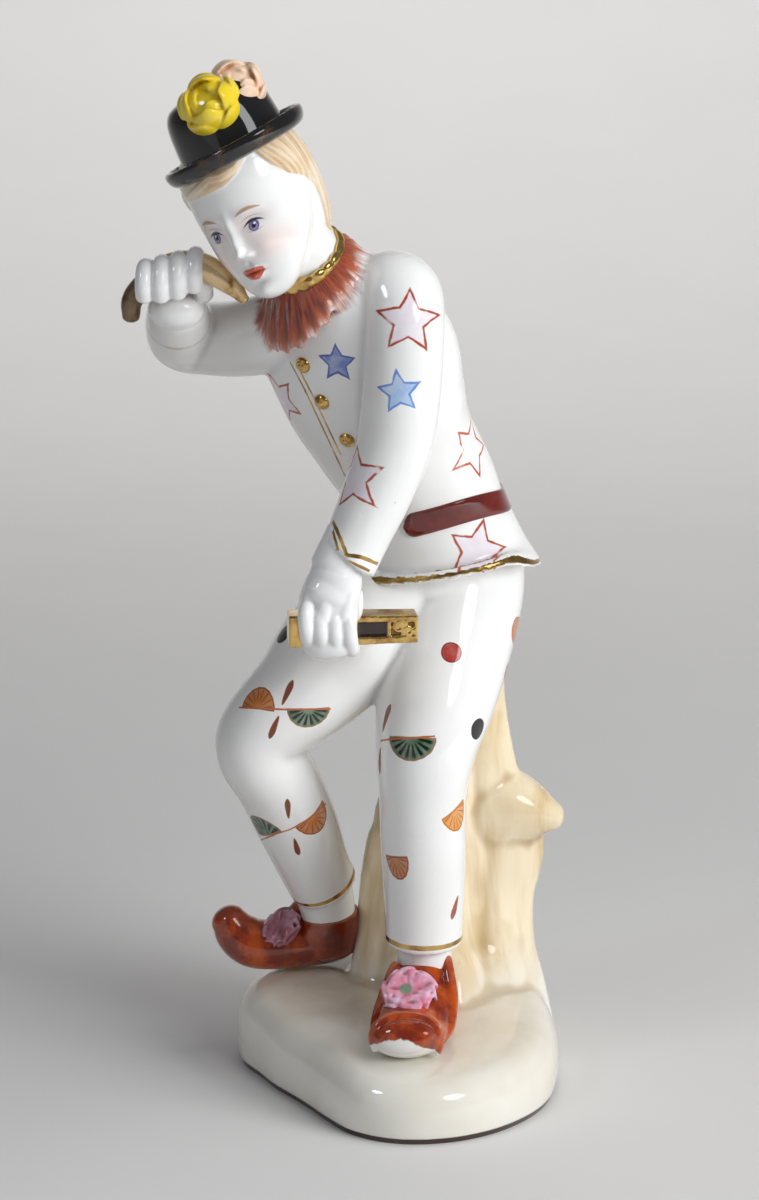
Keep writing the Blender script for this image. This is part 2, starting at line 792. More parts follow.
def stumpPaint(tree, where, color):
    # Cream, deeper up the trunk, with ochre washed down the ribs and into the hollows; the foot is bare.
    z = split(tree, where)[2]
    up = z.step(0.012, 0.034)
    streak = noise(tree, where, 62, 4.0, 0.6, stretch=(1.6, 1.6, 0.2), warp=0.5).step(0.42, 0.64)
    fine = noise(tree, where, 190, 3.0, 0.6, stretch=(1.4, 1.4, 0.12)).step(0.45, 0.7)
    blot = noise(tree, where, 30, 3.0, 0.6).step(0.46, 0.68)
    hollow = attributeField(tree, "hollow").step(0.0, 0.22)
    cream = blendColor(tree, up * 0.8, color, (0.84, 0.7, 0.46))
    cream = blendColor(tree, streak * up * 0.6, cream, (0.56, 0.36, 0.13))
    cream = blendColor(tree, fine * up * 0.15, cream, (0.5, 0.32, 0.14))
    cream = blendColor(tree, blot * (up * 0.45 + 0.25) * 0.75, cream, (0.62, 0.44, 0.22))
    cream = blendColor(tree, hollow * (up * 0.5 + 0.2), cream, (0.4, 0.25, 0.1))
    foot = z.step(0.00155, 0.0013)
    clay = blendColor(tree, noise(tree, where, 900, 4.0), (0.03, 0.01, 0.007), (0.085, 0.03, 0.02))
    return blendColor(tree, foot, cream, clay), None


baseMaterial = glazed(
    "cream stump glaze", (0.84, 0.82, 0.75), (0.5, 0.42, 0.3), cloud=0.16, specks=0.8, paint=stumpPaint
)
baseMesh = fused(
    "base",
    [
        moundForm(base),
        limb(base["stump"], ridges=bark, around=160, steps=16),
        limb(base["branch"], side=(0, 0, 1)),
    ],
    base["voxel"], 10,
)
standOnFoot(baseMesh, base)
addPiece("base", baseMesh, baseMaterial)

# Trousers

trousers = {
    "ownLeft": (
        (12.6, 13.5, 126, 17.5, 15), (12.4, 11.5, 117.5, 17.6, 15.2), (11.2, 6, 107, 16.2, 14.6),
        (8.9, -2.5, 95, 14.2, 13.2), (6.8, -7.5, 84.5, 11.8, 12), (6.1, -8, 73, 10.3, 10.8),
        (6.3, -7, 60, 10, 10.4), (6.5, -5.5, 47, 9.5, 9.6), (6.5, -5, 36.4, 9.1, 9.2),
    ),
    "ownRight": (
        (0, 13, 117.5, 18, 15.2), (-11.8, 7, 106.1, 18.4, 14.8), (-17, 4.3, 100.5, 15.9, 14.1),
        (-22, 2, 95.4, 13.4, 12.6), (-30.4, 0, 87.8, 11.1, 10.5), (-32.2, 0, 81.5, 9.8, 10.3),
        (-28, 3, 73, 10.2, 9.8), (-23.7, 8.6, 61.1, 9.9, 9.5), (-20.1, 14.2, 49.7, 8.7, 8.9),
        (-17.6, 17.4, 43, 8.4, 8.5),
    ),
    "ownLeftAnkle": ((6.5, -4.6, 42, 7, 7), (6.6, -4.4, 34, 6.6, 6.6), (6.6, -4.2, 26, 6.4, 6.8)),
    "ownRightAnkle": ((-18.6, 16.5, 46, 7, 6.8), (-17, 18.6, 38, 7, 6.8), (-17, 20, 30, 6.8, 6.4)),
    "seat": ((8, 13, 121), (21, 17, 12)),
    "voxel": 0.62,
}
trousersMesh = fused(
    "trousers",
    [
        limb(trousers["ownLeft"], round=(0.5, 0.05)),
        limb(trousers["ownLeftAnkle"]),
        limb(trousers["ownRight"], side=(0.55, -0.6, 0.55), round=(0.5, 0.05)),
        limb(trousers["ownRightAnkle"]),
        ball(*trousers["seat"]),
    ],
    trousers["voxel"], 4,
)
print("trousers made")

# Coat

coat = {
    "body": (
        (8.8, 12, 124.2, 26.8, 21.2), (8, 11.8, 128.4, 23.4, 19.1), (6.8, 10, 135, 20.8, 17),
        (5, 7, 145, 18.2, 15.8), (-1, 2.4, 156.5, 19.4, 16), (-5.2, -2.6, 166.5, 21.8, 16.4),
        (-9, -7.4, 178.5, 23.4, 15.4), (-13.4, -11.2, 187.4, 20, 12.4), (-17, -13.8, 194.4, 13.6, 10.2),
        (-20, -16.2, 198.4, 9, 8.6),
    ),
    "side": (0.87, -0.5, 0.25),
    "leftSleeve": (
        (-4.5, -14.5, 192, 8.6, 8.6), (0, -18.6, 191.2, 9.8, 9.6), (1.4, -22.5, 184.4, 9, 8.8),
        (0.9, -24, 171.2, 8.8, 8.6), (-0.6, -23.5, 159.6, 8.6, 8.2), (-4.2, -24, 148.8, 8, 7.6),
        (-8.2, -25, 140, 7.2, 7), (-10.7, -26, 134.7, 7, 6.8),
    ),
    "rightSleeve": (
        (-20, -9, 184, 9, 9), (-27.6, -4.5, 181.3, 9.2, 9.2), (-36, 2.5, 178.8, 8.8, 8.8),
        (-43.6, 8, 178, 8.5, 8.6), (-48.4, 7.5, 178.6, 8.4, 8.4), (-49.4, 2, 181, 8.1, 8),
        (-49.4, -4.5, 184, 7.4, 7.4), (-49.2, -9, 187, 6.6, 6.8),
    ),
    "shoulder": ((-6, -9, 184), (13, 10, 11)),
    "hemDrop": 5.4,
    "hemRise": 1.2,
    "cuffDrop": 2.3,
    "voxel": 0.55,
}


def coatPoints(level, angle, lift, c=coat):
    # Points on the coat: level counts the body's stations, angle runs round from its own left to its back.
    # point = middle + across * (width + lift) * cos(angle) + front * (depth + lift) * sin(angle)
    rows = smoothRows(c["body"], 20)
    _, across, front = crossDirections(rows[:, :3], c["side"])
    spot = np.asarray(level) * 20
    index = np.arange(len(rows))

    def read(values):
        return np.stack([np.interp(spot, index, values[:, k]) for k in range(values.shape[1])], -1)

    row = read(rows)
    wide, deep = row[..., 3] + lift, row[..., 4] + lift
    return (
        row[..., :3]
        + read(across) * (wide * np.cos(angle))[..., None]
        + read(front) * (deep * np.sin(angle))[..., None]
    )


neck = {
    "stations": ((-18.6, -14.2, 195, 9, 8.8), (-20.8, -17, 200, 8.5, 8.3), (-27, -18, 205, 8, 8)),
    "middle": (-20.4, -17, 199.5),
    "up": (-0.46, -0.48, 0.75),
    "forward": (-0.8, -0.45, -0.7),
}
neckTurn = facing(neck["up"], neck["forward"])
ruff = {
    "inside": 8.4,
    "reach": (11, 12.6, 18),  # at the back, the sides and the front
    "pleats": 26,
    "pleatDepth": 0.65,
    "section": (  # share of the reach, and height
        (0, 1.2), (0.14, 1.1), (0.4, 0.5), (0.7, -0.1), (0.93, -0.5), (1, -1.2), (0.97, -1.9), (0.6, -2.6),
        (0, -3.6),
    ),
    "sink": 1.6,  # how far below the neck's middle it starts
}


def ruffReach(angle, r):
    # How far the ruff reaches round the neck: the back, side and front reach blended by cosine squared.
    ahead = -np.sin(angle)
    back, side, front = r["reach"]
    return side + (front - side) * np.clip(ahead, 0, 1) ** 2 + (back - side) * np.clip(-ahead, 0, 1) ** 2


def ruffSlope(angle):
    # How steeply the ruff falls away from the neck: most in front.
    return 0.62 - 0.3 * np.sin(angle)


def ruffForm(r, around=624, steps=6):
    # Round the neck, height falls by slope * reach, and pleats ride on it: depth * |cos|^0.8 of the pleats'
    # angle with its sign, growing from nothing at the neck.
    share, height = smoothLoop(r["section"], steps).T
    angle = evenAngles(around)[:, None]
    radius = r["inside"] + (ruffReach(angle, r) - r["inside"]) * share
    drop = ruffSlope(angle) * (radius - r["inside"]) * (0.7 + 0.3 * share)
    fold = np.cos(r["pleats"] * angle)
    pleat = r["pleatDepth"] * np.sign(fold) * np.abs(fold) ** 0.8 * np.clip(1.4 * share, 0, 1)
    return ringGrid(placed(spun(radius, height - drop + pleat - r["sink"], angle), neckTurn, neck["middle"]))


coatMesh = fused(
    "coat",
    [
        limb(coat["body"], side=coat["side"], round=(0.02, 0.3), around=96, steps=16),
        limb(coat["leftSleeve"], side=(0.9, -0.4, 0.3), round=(0.8, 0.1)),
        limb(coat["rightSleeve"], side=(0, 0.2, 1), round=(0.8, 0.7)),
        ball(*coat["shoulder"]),
        ruffForm(ruff),
    ],
    coat["voxel"], 5,
)


def dropHem(mesh, c):
    # The hem's own left end hangs lower: z falls by drop * step of x * step of nearness to the hem, and rises
    # by a little all along it. The lowered sleeve's outer side reaches further down in the same way.
    points = pointsOf(mesh)
    fromCuff, offSleeve = alongLimb(points, c["leftSleeve"])
    reach = smoothStep(fromCuff, 11, 1) * smoothStep(offSleeve, 9.4, 7.6) * smoothStep(points[:, 0], -15, -6)
    points += np.outer(c["cuffDrop"] * reach, (-0.36, -0.1, -0.93))
    fromEdge, _ = alongLimb(points, c["body"][::-1])
    addField(mesh, "fromHem", fromEdge)
    lower = c["hemDrop"] * smoothStep(points[:, 0], 24, 37.5) - c["hemRise"]
    points[:, 2] -= lower * smoothStep(fromEdge, 17, 2)
    movePoints(mesh, points * mm)


dropHem(coatMesh, coat)
print("coat made")

belt = {
    "ends": (-1.45, 4.4),
    "level": 2.27,
    "wave": 0.55,
    "start": 0.95,
    "halfWidth": 2.9,
    "relief": 0.75,
    "squareness": 0.55,  # 1 gives a round section
}


def beltForm(b, alongs=220, around=24):
    # A flat band on the coat: level = the middle's level + half width * flat / (millimetres in a level), and
    # it stands off by relief * thick, where (flat, thick) goes round a squared circle.
    angle = np.linspace(*b["ends"], alongs)
    level = b["level"] + b["wave"] * np.cos(angle + b["start"])
    middle = coatPoints(level, angle, 0.0)
    length = np.concatenate([[0], np.cumsum(np.linalg.norm(np.diff(middle, axis=0), axis=1))])
    fromEnd = np.minimum(length, length[-1] - length)
    half = b["halfWidth"] * np.sqrt(np.clip(1 - np.clip(1 - fromEnd / b["halfWidth"], 0, 1) ** 2, 0.01, 1))
    above, below = coatPoints(level + 0.2, angle, 0.0), coatPoints(level - 0.2, angle, 0.0)
    rise = np.linalg.norm(above - below, axis=1) / 0.4
    turn = evenAngles(around)
    flat, thick = (np.sign(wave) * np.abs(wave) ** b["squareness"] for wave in (np.cos(turn), np.sin(turn)))
    across = flat * (half / rise)[:, None]
    rings = coatPoints(level[:, None] + across, angle[:, None] + 0 * across, b["relief"] * thick + 0 * across)
    return closedGrid(rings * mm)


# Head

head = {
    "middle": (-30.2, -20.6, 210.6),
    "up": (-0.44, -0.12, 0.89),
    "looks": (-0.42, -0.9, -0.25),
    "sections": (  # height, middle back, half width, half depth
        (-17.2, -8.4, 2, 1.6), (-16.4, -8, 4.2, 3.4), (-14.4, -6.8, 6.6, 5.8), (-11.5, -5.2, 8.8, 7.9),
        (-8, -3.6, 10.6, 9.9), (-4, -1.8, 12.1, 11.9), (0, -0.4, 13, 13.4), (5, 0.6, 13.5, 14.4),
        (10, 1, 13.2, 14.2), (15, 1.2, 11.6, 12.6), (18, 1.4, 8, 9),
    ),
    "nape": (  # the back of the hair, on the head
        (0.6, 6.4, -13, 7.6, 6.4), (0.4, 5.4, -7, 10.8, 9.4), (0.2, 4, 0, 12.8, 11.4),
        (0, 2.8, 7, 13.2, 12.8), (0, 2.2, 12, 12, 12),
    ),
    "hairline": (  # degrees from the front towards its own left, and height of the hair's edge
        (-180, -14), (-125, -12.5), (-98, -7), (-84, -2), (-74, 3), (-60, 7), (-48, 9), (-16, 9.8),
        (12, 10.4), (28, 11.8), (42, 14), (52, 13.6), (60, 9.6), (72, 6), (90, 3.4), (102, 0), (108, -6),
        (115, -11), (125, -12.5), (180, -14),
    ),
    "hairRise": 0.75,
    "voxel": 0.25,
}
headTurn = facing(head["up"], head["looks"])


def onHead(side, back, up):
    # A place on the head, towards its own left, backwards and up from its middle.
    return tuple(Vector(head["middle"]) + headTurn @ Vector((side, back, up)))


faceRelief = (  # side (both sides when not 0), height, spread across, spread up, rise
    (5.0, 0.9, 2.6, 1.7, -1.1),  # eye hollow
    (5.0, 0.2, 1.9, 1.15, 0.75),  # eyeball
    (4.9, 3.9, 3.2, 1.0, 0.45),  # brow
    (0, 1.8, 1.0, 2.6, 0.7),  # bridge of the nose
    (0, -2.0, 1.1, 2.0, 1.4),
    (0, -4.4, 1.25, 1.3, 2.1),  # tip of the nose
    (1.6, -5.1, 0.8, 0.7, 0.9),  # wings of the nose
    (0, -7.2, 0.6, 0.8, -0.25),  # below the nose
    (1.0, -8.7, 1.3, 0.55, 0.8),  # upper lip
    (0, -10.4, 1.7, 0.65, 1.0),  # lower lip
    (0, -9.55, 2.4, 0.22, -0.5),  # between the lips
    (0, -12.2, 2.0, 0.7, -0.45),
    (0, -14.6, 2.4, 1.7, 0.9),  # chin
    (6.0, -4.6, 3.0, 2.8, 0.7),  # cheek
)


def skullForm(h, around=180, levels=140):
    # Ovals stacked from chin to crown: middle, half width and half depth are read off between the sections.
    rows = smoothRows(h["sections"], 40)
    height = np.linspace(rows[0, 0], rows[-1, 0], levels)
    middle, wide, deep = (np.interp(height, rows[:, 0], rows[:, k])[:, None] for k in (1, 2, 3))
    angle = evenAngles(around)
    across, back = wide * np.cos(angle), middle + deep * np.sin(angle)
    local = np.stack(np.broadcast_arrays(across, back, height[:, None]), -1)
    return closedGrid(placed(local, headTurn, h["middle"]))


def headStations(rows):
    return [(*onHead(*row[:3]), *row[3:]) for row in rows]


def modelHead(mesh, h):
    # Face: bumps exp(-(across/spread)^2 - (up/spread)^2) push it forwards. Hair: above the hairline the skin
    # swells along its normal, and strands ride on that as cosines of a phase that sweeps down the head.
    turn = np.array(headTurn)
    local = (pointsOf(mesh) - h["middle"]) @ turn
    x, y, z = local.T
    front = smoothStep(-y, 1, 6)
    rise = np.zeros(len(local))
    for side, up, spreadX, spreadZ, amount in faceRelief:
        for mirror in (-1, 1) if side else (0,):
            rise += amount * np.exp(-(((x - mirror * side) / spreadX) ** 2) - ((z - up) / spreadZ) ** 2)
    angle = np.arctan2(x, -(y - 1))
    above = z - np.interp(np.degrees(angle), *zip(*h["hairline"]))
    hair = smoothStep(above, -0.5, 0.5)
    behind = smoothStep(np.abs(angle), 1.0, 1.8)
    phase = (1 - behind) * 2.4 * above + (9 + 14 * behind) * np.abs(angle)
    strand = np.cos(phase) + 0.6 * np.cos(2.3 * phase + 1) + 0.3 * np.cos(5.1 * phase + z)
    swell = h["hairRise"] * smoothStep(above, -0.6, 1.6) + 0.1 * strand * smoothStep(above, 0, 2)
    nape = smoothStep(np.hypot(x, y + 1), 15, 9) * (z < -9)
    local[:, 1] -= rise * front * (1 - hair)
    local += (normalsOf(mesh) @ turn) * (swell * (1 - nape))[:, None]
    movePoints(mesh, placed(local, turn, h["middle"]))
    addField(mesh, "hair", hair)
    addField(mesh, "strand", strand)


def facePaint(tree, where, color):
    # A calm doll's face, drawn in the head's own plane: brows, lids, eyes, lips and a soft blush.
    x, y, z = localPlace(tree, where, head["middle"], headTurn)
    ahead = y.step(-4.0, -7.0)
    side = x.size()
    shake = (noise(tree, where, 900, 1.0) - 0.5) * 0.16

    def dab(color, mask, paint, cover=1.0):
        return blendColor(tree, mask * ahead * cover, color, paint)

    def spot(cx, cz, rx, rz, soft=0.1):
        far = (((side - cx) / rx).math("POWER", 2.0) + ((z - cz) / rz).math("POWER", 2.0)).math("SQRT")
        return far.step(1.0 + soft, 1.0 - soft)

    def arc(cx, top, bend, half, thick, soft=0.12):
        # A stroke along z = top - bend * (side - cx)^2 that thins to its ends.
        off = side - cx
        line = z + shake - (off * off * -bend + top)
        width = ((off / half).math("POWER", 2.0).flip()).math("MAXIMUM", 0.0) * thick
        return (line.size() - width).step(soft, -soft) * off.size().step(half * 1.02, half * 0.85)

    color = dab(color, spot(5.6, 1.9, 3.6, 2.0, 0.7), (0.62, 0.42, 0.4), 0.3)
    color = dab(color, spot(6.8, -4.6, 3.6, 3.0, 0.8), (0.85, 0.5, 0.44), 0.34)
    color = dab(color, spot(3.2, 0.4, 1.6, 2.6, 0.8), (0.6, 0.4, 0.34), 0.22)
    color = dab(color, spot(5.0, 0.2, 1.15, 1.15), (0.13, 0.11, 0.3))
    color = dab(color, spot(5.0, 0.05, 0.8, 0.75), (0.3, 0.27, 0.5))
    color = dab(color, spot(5.0, 0.2, 0.5, 0.5), (0.015, 0.012, 0.03))
    color = dab(color, spot(5.3, 0.6, 0.26, 0.24), (0.95, 0.95, 0.97))
    color = dab(color, arc(5.0, 1.35, 0.16, 2.5, 0.3), (0.035, 0.02, 0.03))
    color = dab(color, arc(5.1, -0.95, -0.1, 1.8, 0.13), (0.4, 0.22, 0.2), 0.7)
    color = dab(color, arc(5.0, 2.35, 0.12, 2.5, 0.12), (0.45, 0.28, 0.2), 0.8)
    color = dab(color, arc(5.2, 4.3, 0.1, 3.0, 0.42, 0.2), (0.42, 0.22, 0.1), 0.85)
    upper = (z + shake).step(-8.1, -8.35) * (z - (side * side * -0.03 + -9.6)).step(-0.1, 0.1)
    bow = (z - ((side - 0.9).size() * -0.32 + -8.05)).step(0.1, -0.1)
    lower = (z - (side * side * 0.22 + -11.15)).step(-0.1, 0.1) * (z - -9.5).step(0.1, -0.1)
    mouth = (upper * bow).math("MAXIMUM", lower) * side.step(2.9, 2.6)
    color = dab(color, mouth, (0.62, 0.09, 0.03), 0.95)
    color = dab(color, arc(0.0, -9.55, 0.02, 2.7, 0.14), (0.3, 0.02, 0.01), 0.8)
    strand = attributeField(tree, "strand") + (noise(tree, where, 320, 3.0, 0.6) - 0.5) * 1.6
    wash = noise(tree, where, 120, 3.0, 0.6).step(0.3, 0.7)
    blond = blendColor(tree, strand.step(-0.9, 0.9), (0.56, 0.33, 0.13), (0.78, 0.57, 0.32))
    blond = blendColor(tree, wash * 0.7, blond, (0.86, 0.76, 0.6))
    edge = attributeField(tree, "hair") + (noise(tree, where, 700, 2.0) - 0.5) * 0.5
    return blendColor(tree, edge.step(0.3, 0.9) * 0.9, color, blond), None


faceMaterial = glazed("painted face", white, (0.6, 0.53, 0.5), 0.45, 0.03, 0.2, facePaint)
headMesh = fused(
    "head",
    [
        skullForm(head),
        limb(headStations(head["nape"]), side=tuple(headTurn @ Vector((1, 0, 0))), around=96),
        limb(neck["stations"]),
    ],
    head["voxel"], 30,
)
modelHead(headMesh, head)
addPiece("head", headMesh, faceMaterial)

# Choker

choker = {"radius": 8.9, "lumps": 17, "thick": 1.1, "high": 1.8}


def chokerForm(c, around=640, section=24):
    # A ring of ovals round the neck. Both half widths swell with a lump, |cos| of an uneven phase, and are
    # largest in front, where the outside is beaded too.
    angle = evenAngles(around)[:, None]
    ahead = np.clip(-np.sin(angle), 0, 1) ** 0.7
    lump = np.abs(np.cos(c["lumps"] * angle / 2 + 0.8 * np.sin(3 * angle)))
    swell = 0.78 + 0.22 * ahead + (0.1 + 0.22 * ahead) * (lump - 0.5)
    turn = evenAngles(section)[None, :]
    bead = 1 + 0.12 * np.cos(23 * angle + 2 * turn) * ahead
    radius = c["radius"] + c["thick"] * swell * np.cos(turn) * bead
    height = c["high"] * (0.7 + 0.3 * ahead + 0.2 * (lump - 0.5)) * np.sin(turn)
    return ringGrid(placed(spun(radius, height, angle), neckTurn, neck["middle"]))


def ruffPaint(tree, where, color):
    # Rust-red brushed out from the neck along each pleat, to a feathered pale edge.
    x, y, _ = localPlace(tree, where, neck["middle"], neckTurn)
    reach = reachOf(x, y)
    around = y.math("ARCTAN2", x)
    spread = place(tree, "ShaderNodeCombineXYZ", {0: around * 5.5, 1: reach * 0.07, 2: 0.0}).outputs[0]
    streak = noise(tree, spread, 3.0, 4.0, 0.7)
    wide = noise(tree, spread, 1.1, 2.0, 0.5)
    inside = attributeField(tree, "ruff")
    mask = (inside + streak * 5.0 + wide * 3.0).step(2.0, 5.2)
    groove = attributeField(tree, "hollow").step(-0.05, 0.1)
    tone = blendColor(tree, streak.step(0.36, 0.6), (0.12, 0.012, 0.007), (0.42, 0.062, 0.014))
    tone = blendColor(tree, groove * 0.6, tone, (0.12, 0.02, 0.014))
    thin = (inside + streak * 4.0).step(5.0, 1.6)
    tone = blendColor(tree, thin * 0.5, tone, (0.56, 0.16, 0.06))
    tone = blendColor(tree, split(tree, where)[0].step(-0.0285, -0.035) * 0.75, tone, (0.1, 0.014, 0.01))
    return blendColor(tree, mask * 0.97, color, tone)


def goldMaterial():
    # Burnished gold over glaze: warm, with thin brown places and fine scratches.
    material, tree, shader = newMaterial("bright gold")
    where = objectPlace(tree)
    thin = noise(tree, where, 240, 4.0, 0.65).step(0.42, 0.7)
    hollow = attributeField(tree, "hollow").step(0.0, 0.2)
    leaf = blendColor(tree, thin * 0.7, (0.78, 0.52, 0.17), (0.3, 0.15, 0.04))
    color = blendColor(tree, hollow * 0.75, leaf, (0.12, 0.05, 0.015))
    shader.inputs["Coat Weight"].default_value = 0.15
    rough = noise(tree, where, 600, 3.0) * 0.16 + 0.1
    scratch = noise(tree, where, 900, 2.0, 0.6, stretch=(1, 0.2, 1))
    setSurface(tree, shader, color, 0.95, rough, scratch, 0.00008)
    return material


gold = goldMaterial()
addPiece("choker", closedMesh("choker", [chokerForm(choker)]), gold)

# Hat and roses

hat = {
    "middle": onHead(1.4, 0.8, 14.2),
    "up": (-0.475, 0.01, 0.88),
    "crown": ((12.4, -1.4), (12.3, 2), (12, 6), (11.6, 9.5), (10.8, 12), (9, 13.8), (5, 14.8), (1, 15)),
    "brim": (
        (10, -1.6), (13.8, -1.8), (15.8, -1.1), (16.7, 0.4), (16.8, 1.8), (16, 2.5), (15.1, 1.7), (13.8, 0.8),
        (10, 0.5),
    ),
    "voxel": 0.45,
}
hatTurn = facing(hat["up"], head["looks"])


def crownForm(h, around=160, steps=12):
    # The crown's profile turned round its axis, dented a little as soft felt is.
    outline = smoothRows(h["crown"], steps)
    angle = evenAngles(around)
    dents = 0.012 * np.cos(2 * angle + 1) + 0.008 * np.cos(3 * angle)
    dents = dents + 0.006 * np.cos(5 * angle + 0.3 * outline[:, 1:])
    return closedGrid(placed(spun(outline[:, :1] * (1 + dents), outline[:, 1:], angle), hatTurn, h["middle"]))


def hatPaint(tree, where, color):
    # Black, thin and brown where the brush missed along the edges.
    thin = noise(tree, where, 170, 4.0, 0.6).step(0.55, 0.78)
    hollow = attributeField(tree, "hollow").step(0.0, -0.25)
    black = blendColor(tree, thin * 0.5, (0.008, 0.008, 0.009), (0.03, 0.022, 0.016))
    return blendColor(tree, hollow * thin, black, (0.12, 0.06, 0.03)), None


hatForms = [crownForm(hat), turned(hat["brim"], hat["middle"], hatTurn)]
addPiece("hat", fused("hat", hatForms, hat["voxel"], 3), enamel("black hat glaze", hatPaint))

roses = {  # bright, deep and pale are colours
    "yellow": {
        "middle": (-40.2, -30, 233.9), "radius": 7.1, "up": (-0.3, -0.85, 0.5), "voxel": 0.26,
        "bright": (0.8, 0.56, 0.005), "deep": (0.48, 0.29, 0.002), "pale": (0.84, 0.68, 0.06),
    },
    "cream": {
        "middle": (-34.8, -25.8, 237.4), "radius": 6.5, "up": (0.15, -0.75, 0.7), "voxel": 0.26,
        "bright": (0.86, 0.58, 0.4), "deep": (0.62, 0.3, 0.14), "pale": (0.88, 0.72, 0.56),
    },
}


def petalForm(middle, turn, radius, patch, around=44, levels=30):
    # A petal is a thick patch of a sphere round the rose's middle: azimuth = a0 + wide * b and elevation =
    # e0 + tall * c, where (a, b, c) runs over a unit sphere and a is the thickness. The lip rolls out as c^3.
    azimuth0, elevation0, shell, wide, tall, thick, roll = patch
    a, b, c = np.moveaxis(unitBall(around, levels), -1, 0)
    azimuth = azimuth0 + b * wide
    elevation = elevation0 + c * tall - 0.12 * b**2 + 0.05 * np.cos(4 * b + azimuth0) * np.clip(c, 0, 1)
    out = shell + a * thick + roll * np.clip(c, 0, 1) ** 3 - 0.05 * b**2
    local = radius * spun(out * np.cos(elevation), out * np.sin(elevation), azimuth)
    return closedGrid(placed(local, turn, middle))


roseRings = (  # petals, first azimuth, elevation, distance out, half width, half height, thickness, lip
    (2, 0.4, 0.85, 0.42, 1.5, 0.55, 0.09, 0.02),
    (3, 1.2, 0.55, 0.64, 1.15, 0.66, 0.1, 0.03),
    (4, 0.3, 0.15, 0.82, 0.92, 0.8, 0.11, 0.05),
    (5, 0.8, -0.3, 0.92, 0.8, 0.72, 0.11, 0.06),
)


def roseForms(r):
    # A cupped bud in rings of petals round a solid heart.
    turn = facing(r["up"], (0, 0, -1))
    heart = r["radius"] * 0.78
    forms = [ball(r["middle"], (heart, heart, heart * 0.7), turn)]
    for count, first, *patch in roseRings:
        for azimuth in first + evenAngles(count):
            forms.append(petalForm(r["middle"], turn, r["radius"], (azimuth, *patch)))
    return forms


def rosePaint(r):
    # Colour pools in the folds and runs thin off the petals' lips.
    bright, deep, pale = r["bright"], r["deep"], r["pale"]

    def paint(tree, where, color):
        hollow = attributeField(tree, "hollow")
        patch = noise(tree, where, 130, 3.0, 0.6).step(0.38, 0.66)
        tone = blendColor(tree, patch * 0.6, bright, pale)
        tone = blendColor(tree, hollow.step(-0.04, -0.2) * 0.5, tone, pale)
        return blendColor(tree, hollow.step(0.0, 0.16) * 0.8, tone, deep), None

    return paint


for name, rose in roses.items():
    roseMesh = fused("rose-" + name, roseForms(rose), rose["voxel"], 6)
    addPiece("rose-" + name, roseMesh, enamel(name + " rose glaze", rosePaint(rose)))
print("hat made")

# Hands and what they hold

hands = {
    "raised": {
        "wrist": (-49.4, -8, 186.6), "palm": (-49.6, -13.4, 193.6), "knuckles": (-49.8, -16.4, 198.7),
        "curl": ((-0.2, -4.6, 0.1), (-0.4, -6.6, -3.6), (-0.4, -5.4, -6.6)),
        "spread": (0.97, 0.12, 0.22), "finger": 2.05, "wristWidth": 6.3,
        "thumb": ((-45.4, -12, 192), (-43, -16, 191.6), (-42.8, -19.6, 193.4)),
    },
    "lowered": {
        "wrist": (-12.6, -26.4, 132.6), "palm": (-14.8, -28.2, 125.8), "knuckles": (-15.6, -31.2, 120.4),
        "curl": ((0.3, 0.2, -3.6), (0.6, 3.4, -6.6), (0.8, 8, -5)),
        "spread": (0.97, 0.08, -0.2), "finger": 1.8, "wristWidth": 5.4,
        "thumb": ((-9.6, -26.6, 126), (-9.6, -26.6, 122), (-10.6, -24.6, 119.4)),
    },
    "seams": (  # ridges that fan out over the back of the lowered hand
        ((-15.2, -28.2, 132, 1.5, 1.4), (-18.6, -28.8, 126.4, 2.2, 1.9), (-20.6, -29.8, 121, 1.9, 1.8)),
        ((-13.2, -29, 132, 1.6, 1.4), (-15.4, -30.2, 126.6, 2.1, 1.9), (-16.6, -31.2, 121, 1.9, 1.8)),
        ((-10.8, -28.4, 132, 1.6, 1.4), (-11.2, -29.8, 126.4, 2.2, 1.9), (-12, -30.4, 121, 1.9, 1.8)),
    ),
    "fist": (
        (-13.6, -27.2, 130, 6, 5), (-15.2, -27.6, 124, 6.8, 4.4), (-15.6, -28, 118.4, 6.6, 3.9),
        (-15, -28, 114.4, 6.4, 3.8),
    ),
    "heel": ((-49.2, -15, 187.8), (6.3, 4.8, 4.6)),
    "loweredWrist": ((-11, -25.6, 139.2, 5, 5), (-13.4, -26.4, 132.2, 6, 5.4)),
    "voxel": 0.3,
}


def handForms(h):
    # A gloved fist: palm, four fingers side by side that bend over the grip, and a thumb.
    wrist, palm, knuckles, spread = (Vector(h[k]) for k in ("wrist", "palm", "knuckles", "spread"))
    size = h["finger"]
    wide = h["wristWidth"]
    start = wrist + (wrist - palm) * 0.25
    places = ((start, 0.9), (wrist, 0.87), ((wrist + palm) / 2, 0.84))
    path = [(*spot, wide, wide * flat) for spot, flat in places]
    forms = [limb([*path, (*palm, 6.3, 4.5)], side=spread)]
    for k in range(4):
        shift = spread * (1.5 - k) * size * 1.84
        length = (0.96, 1.03, 1.0, 0.88)[k]
        path = [palm.lerp(knuckles, 0.6) + shift, knuckles + shift]
        path += [knuckles + shift + Vector(step) * length for step in h["curl"]]
        forms.append(limb([(*p, size, size) for p in path], side=spread, around=28, steps=8))
    forms.append(limb([(*p, size * 1.08, size * 1.08) for p in h["thumb"]], side=spread, around=28, steps=8))
    return forms


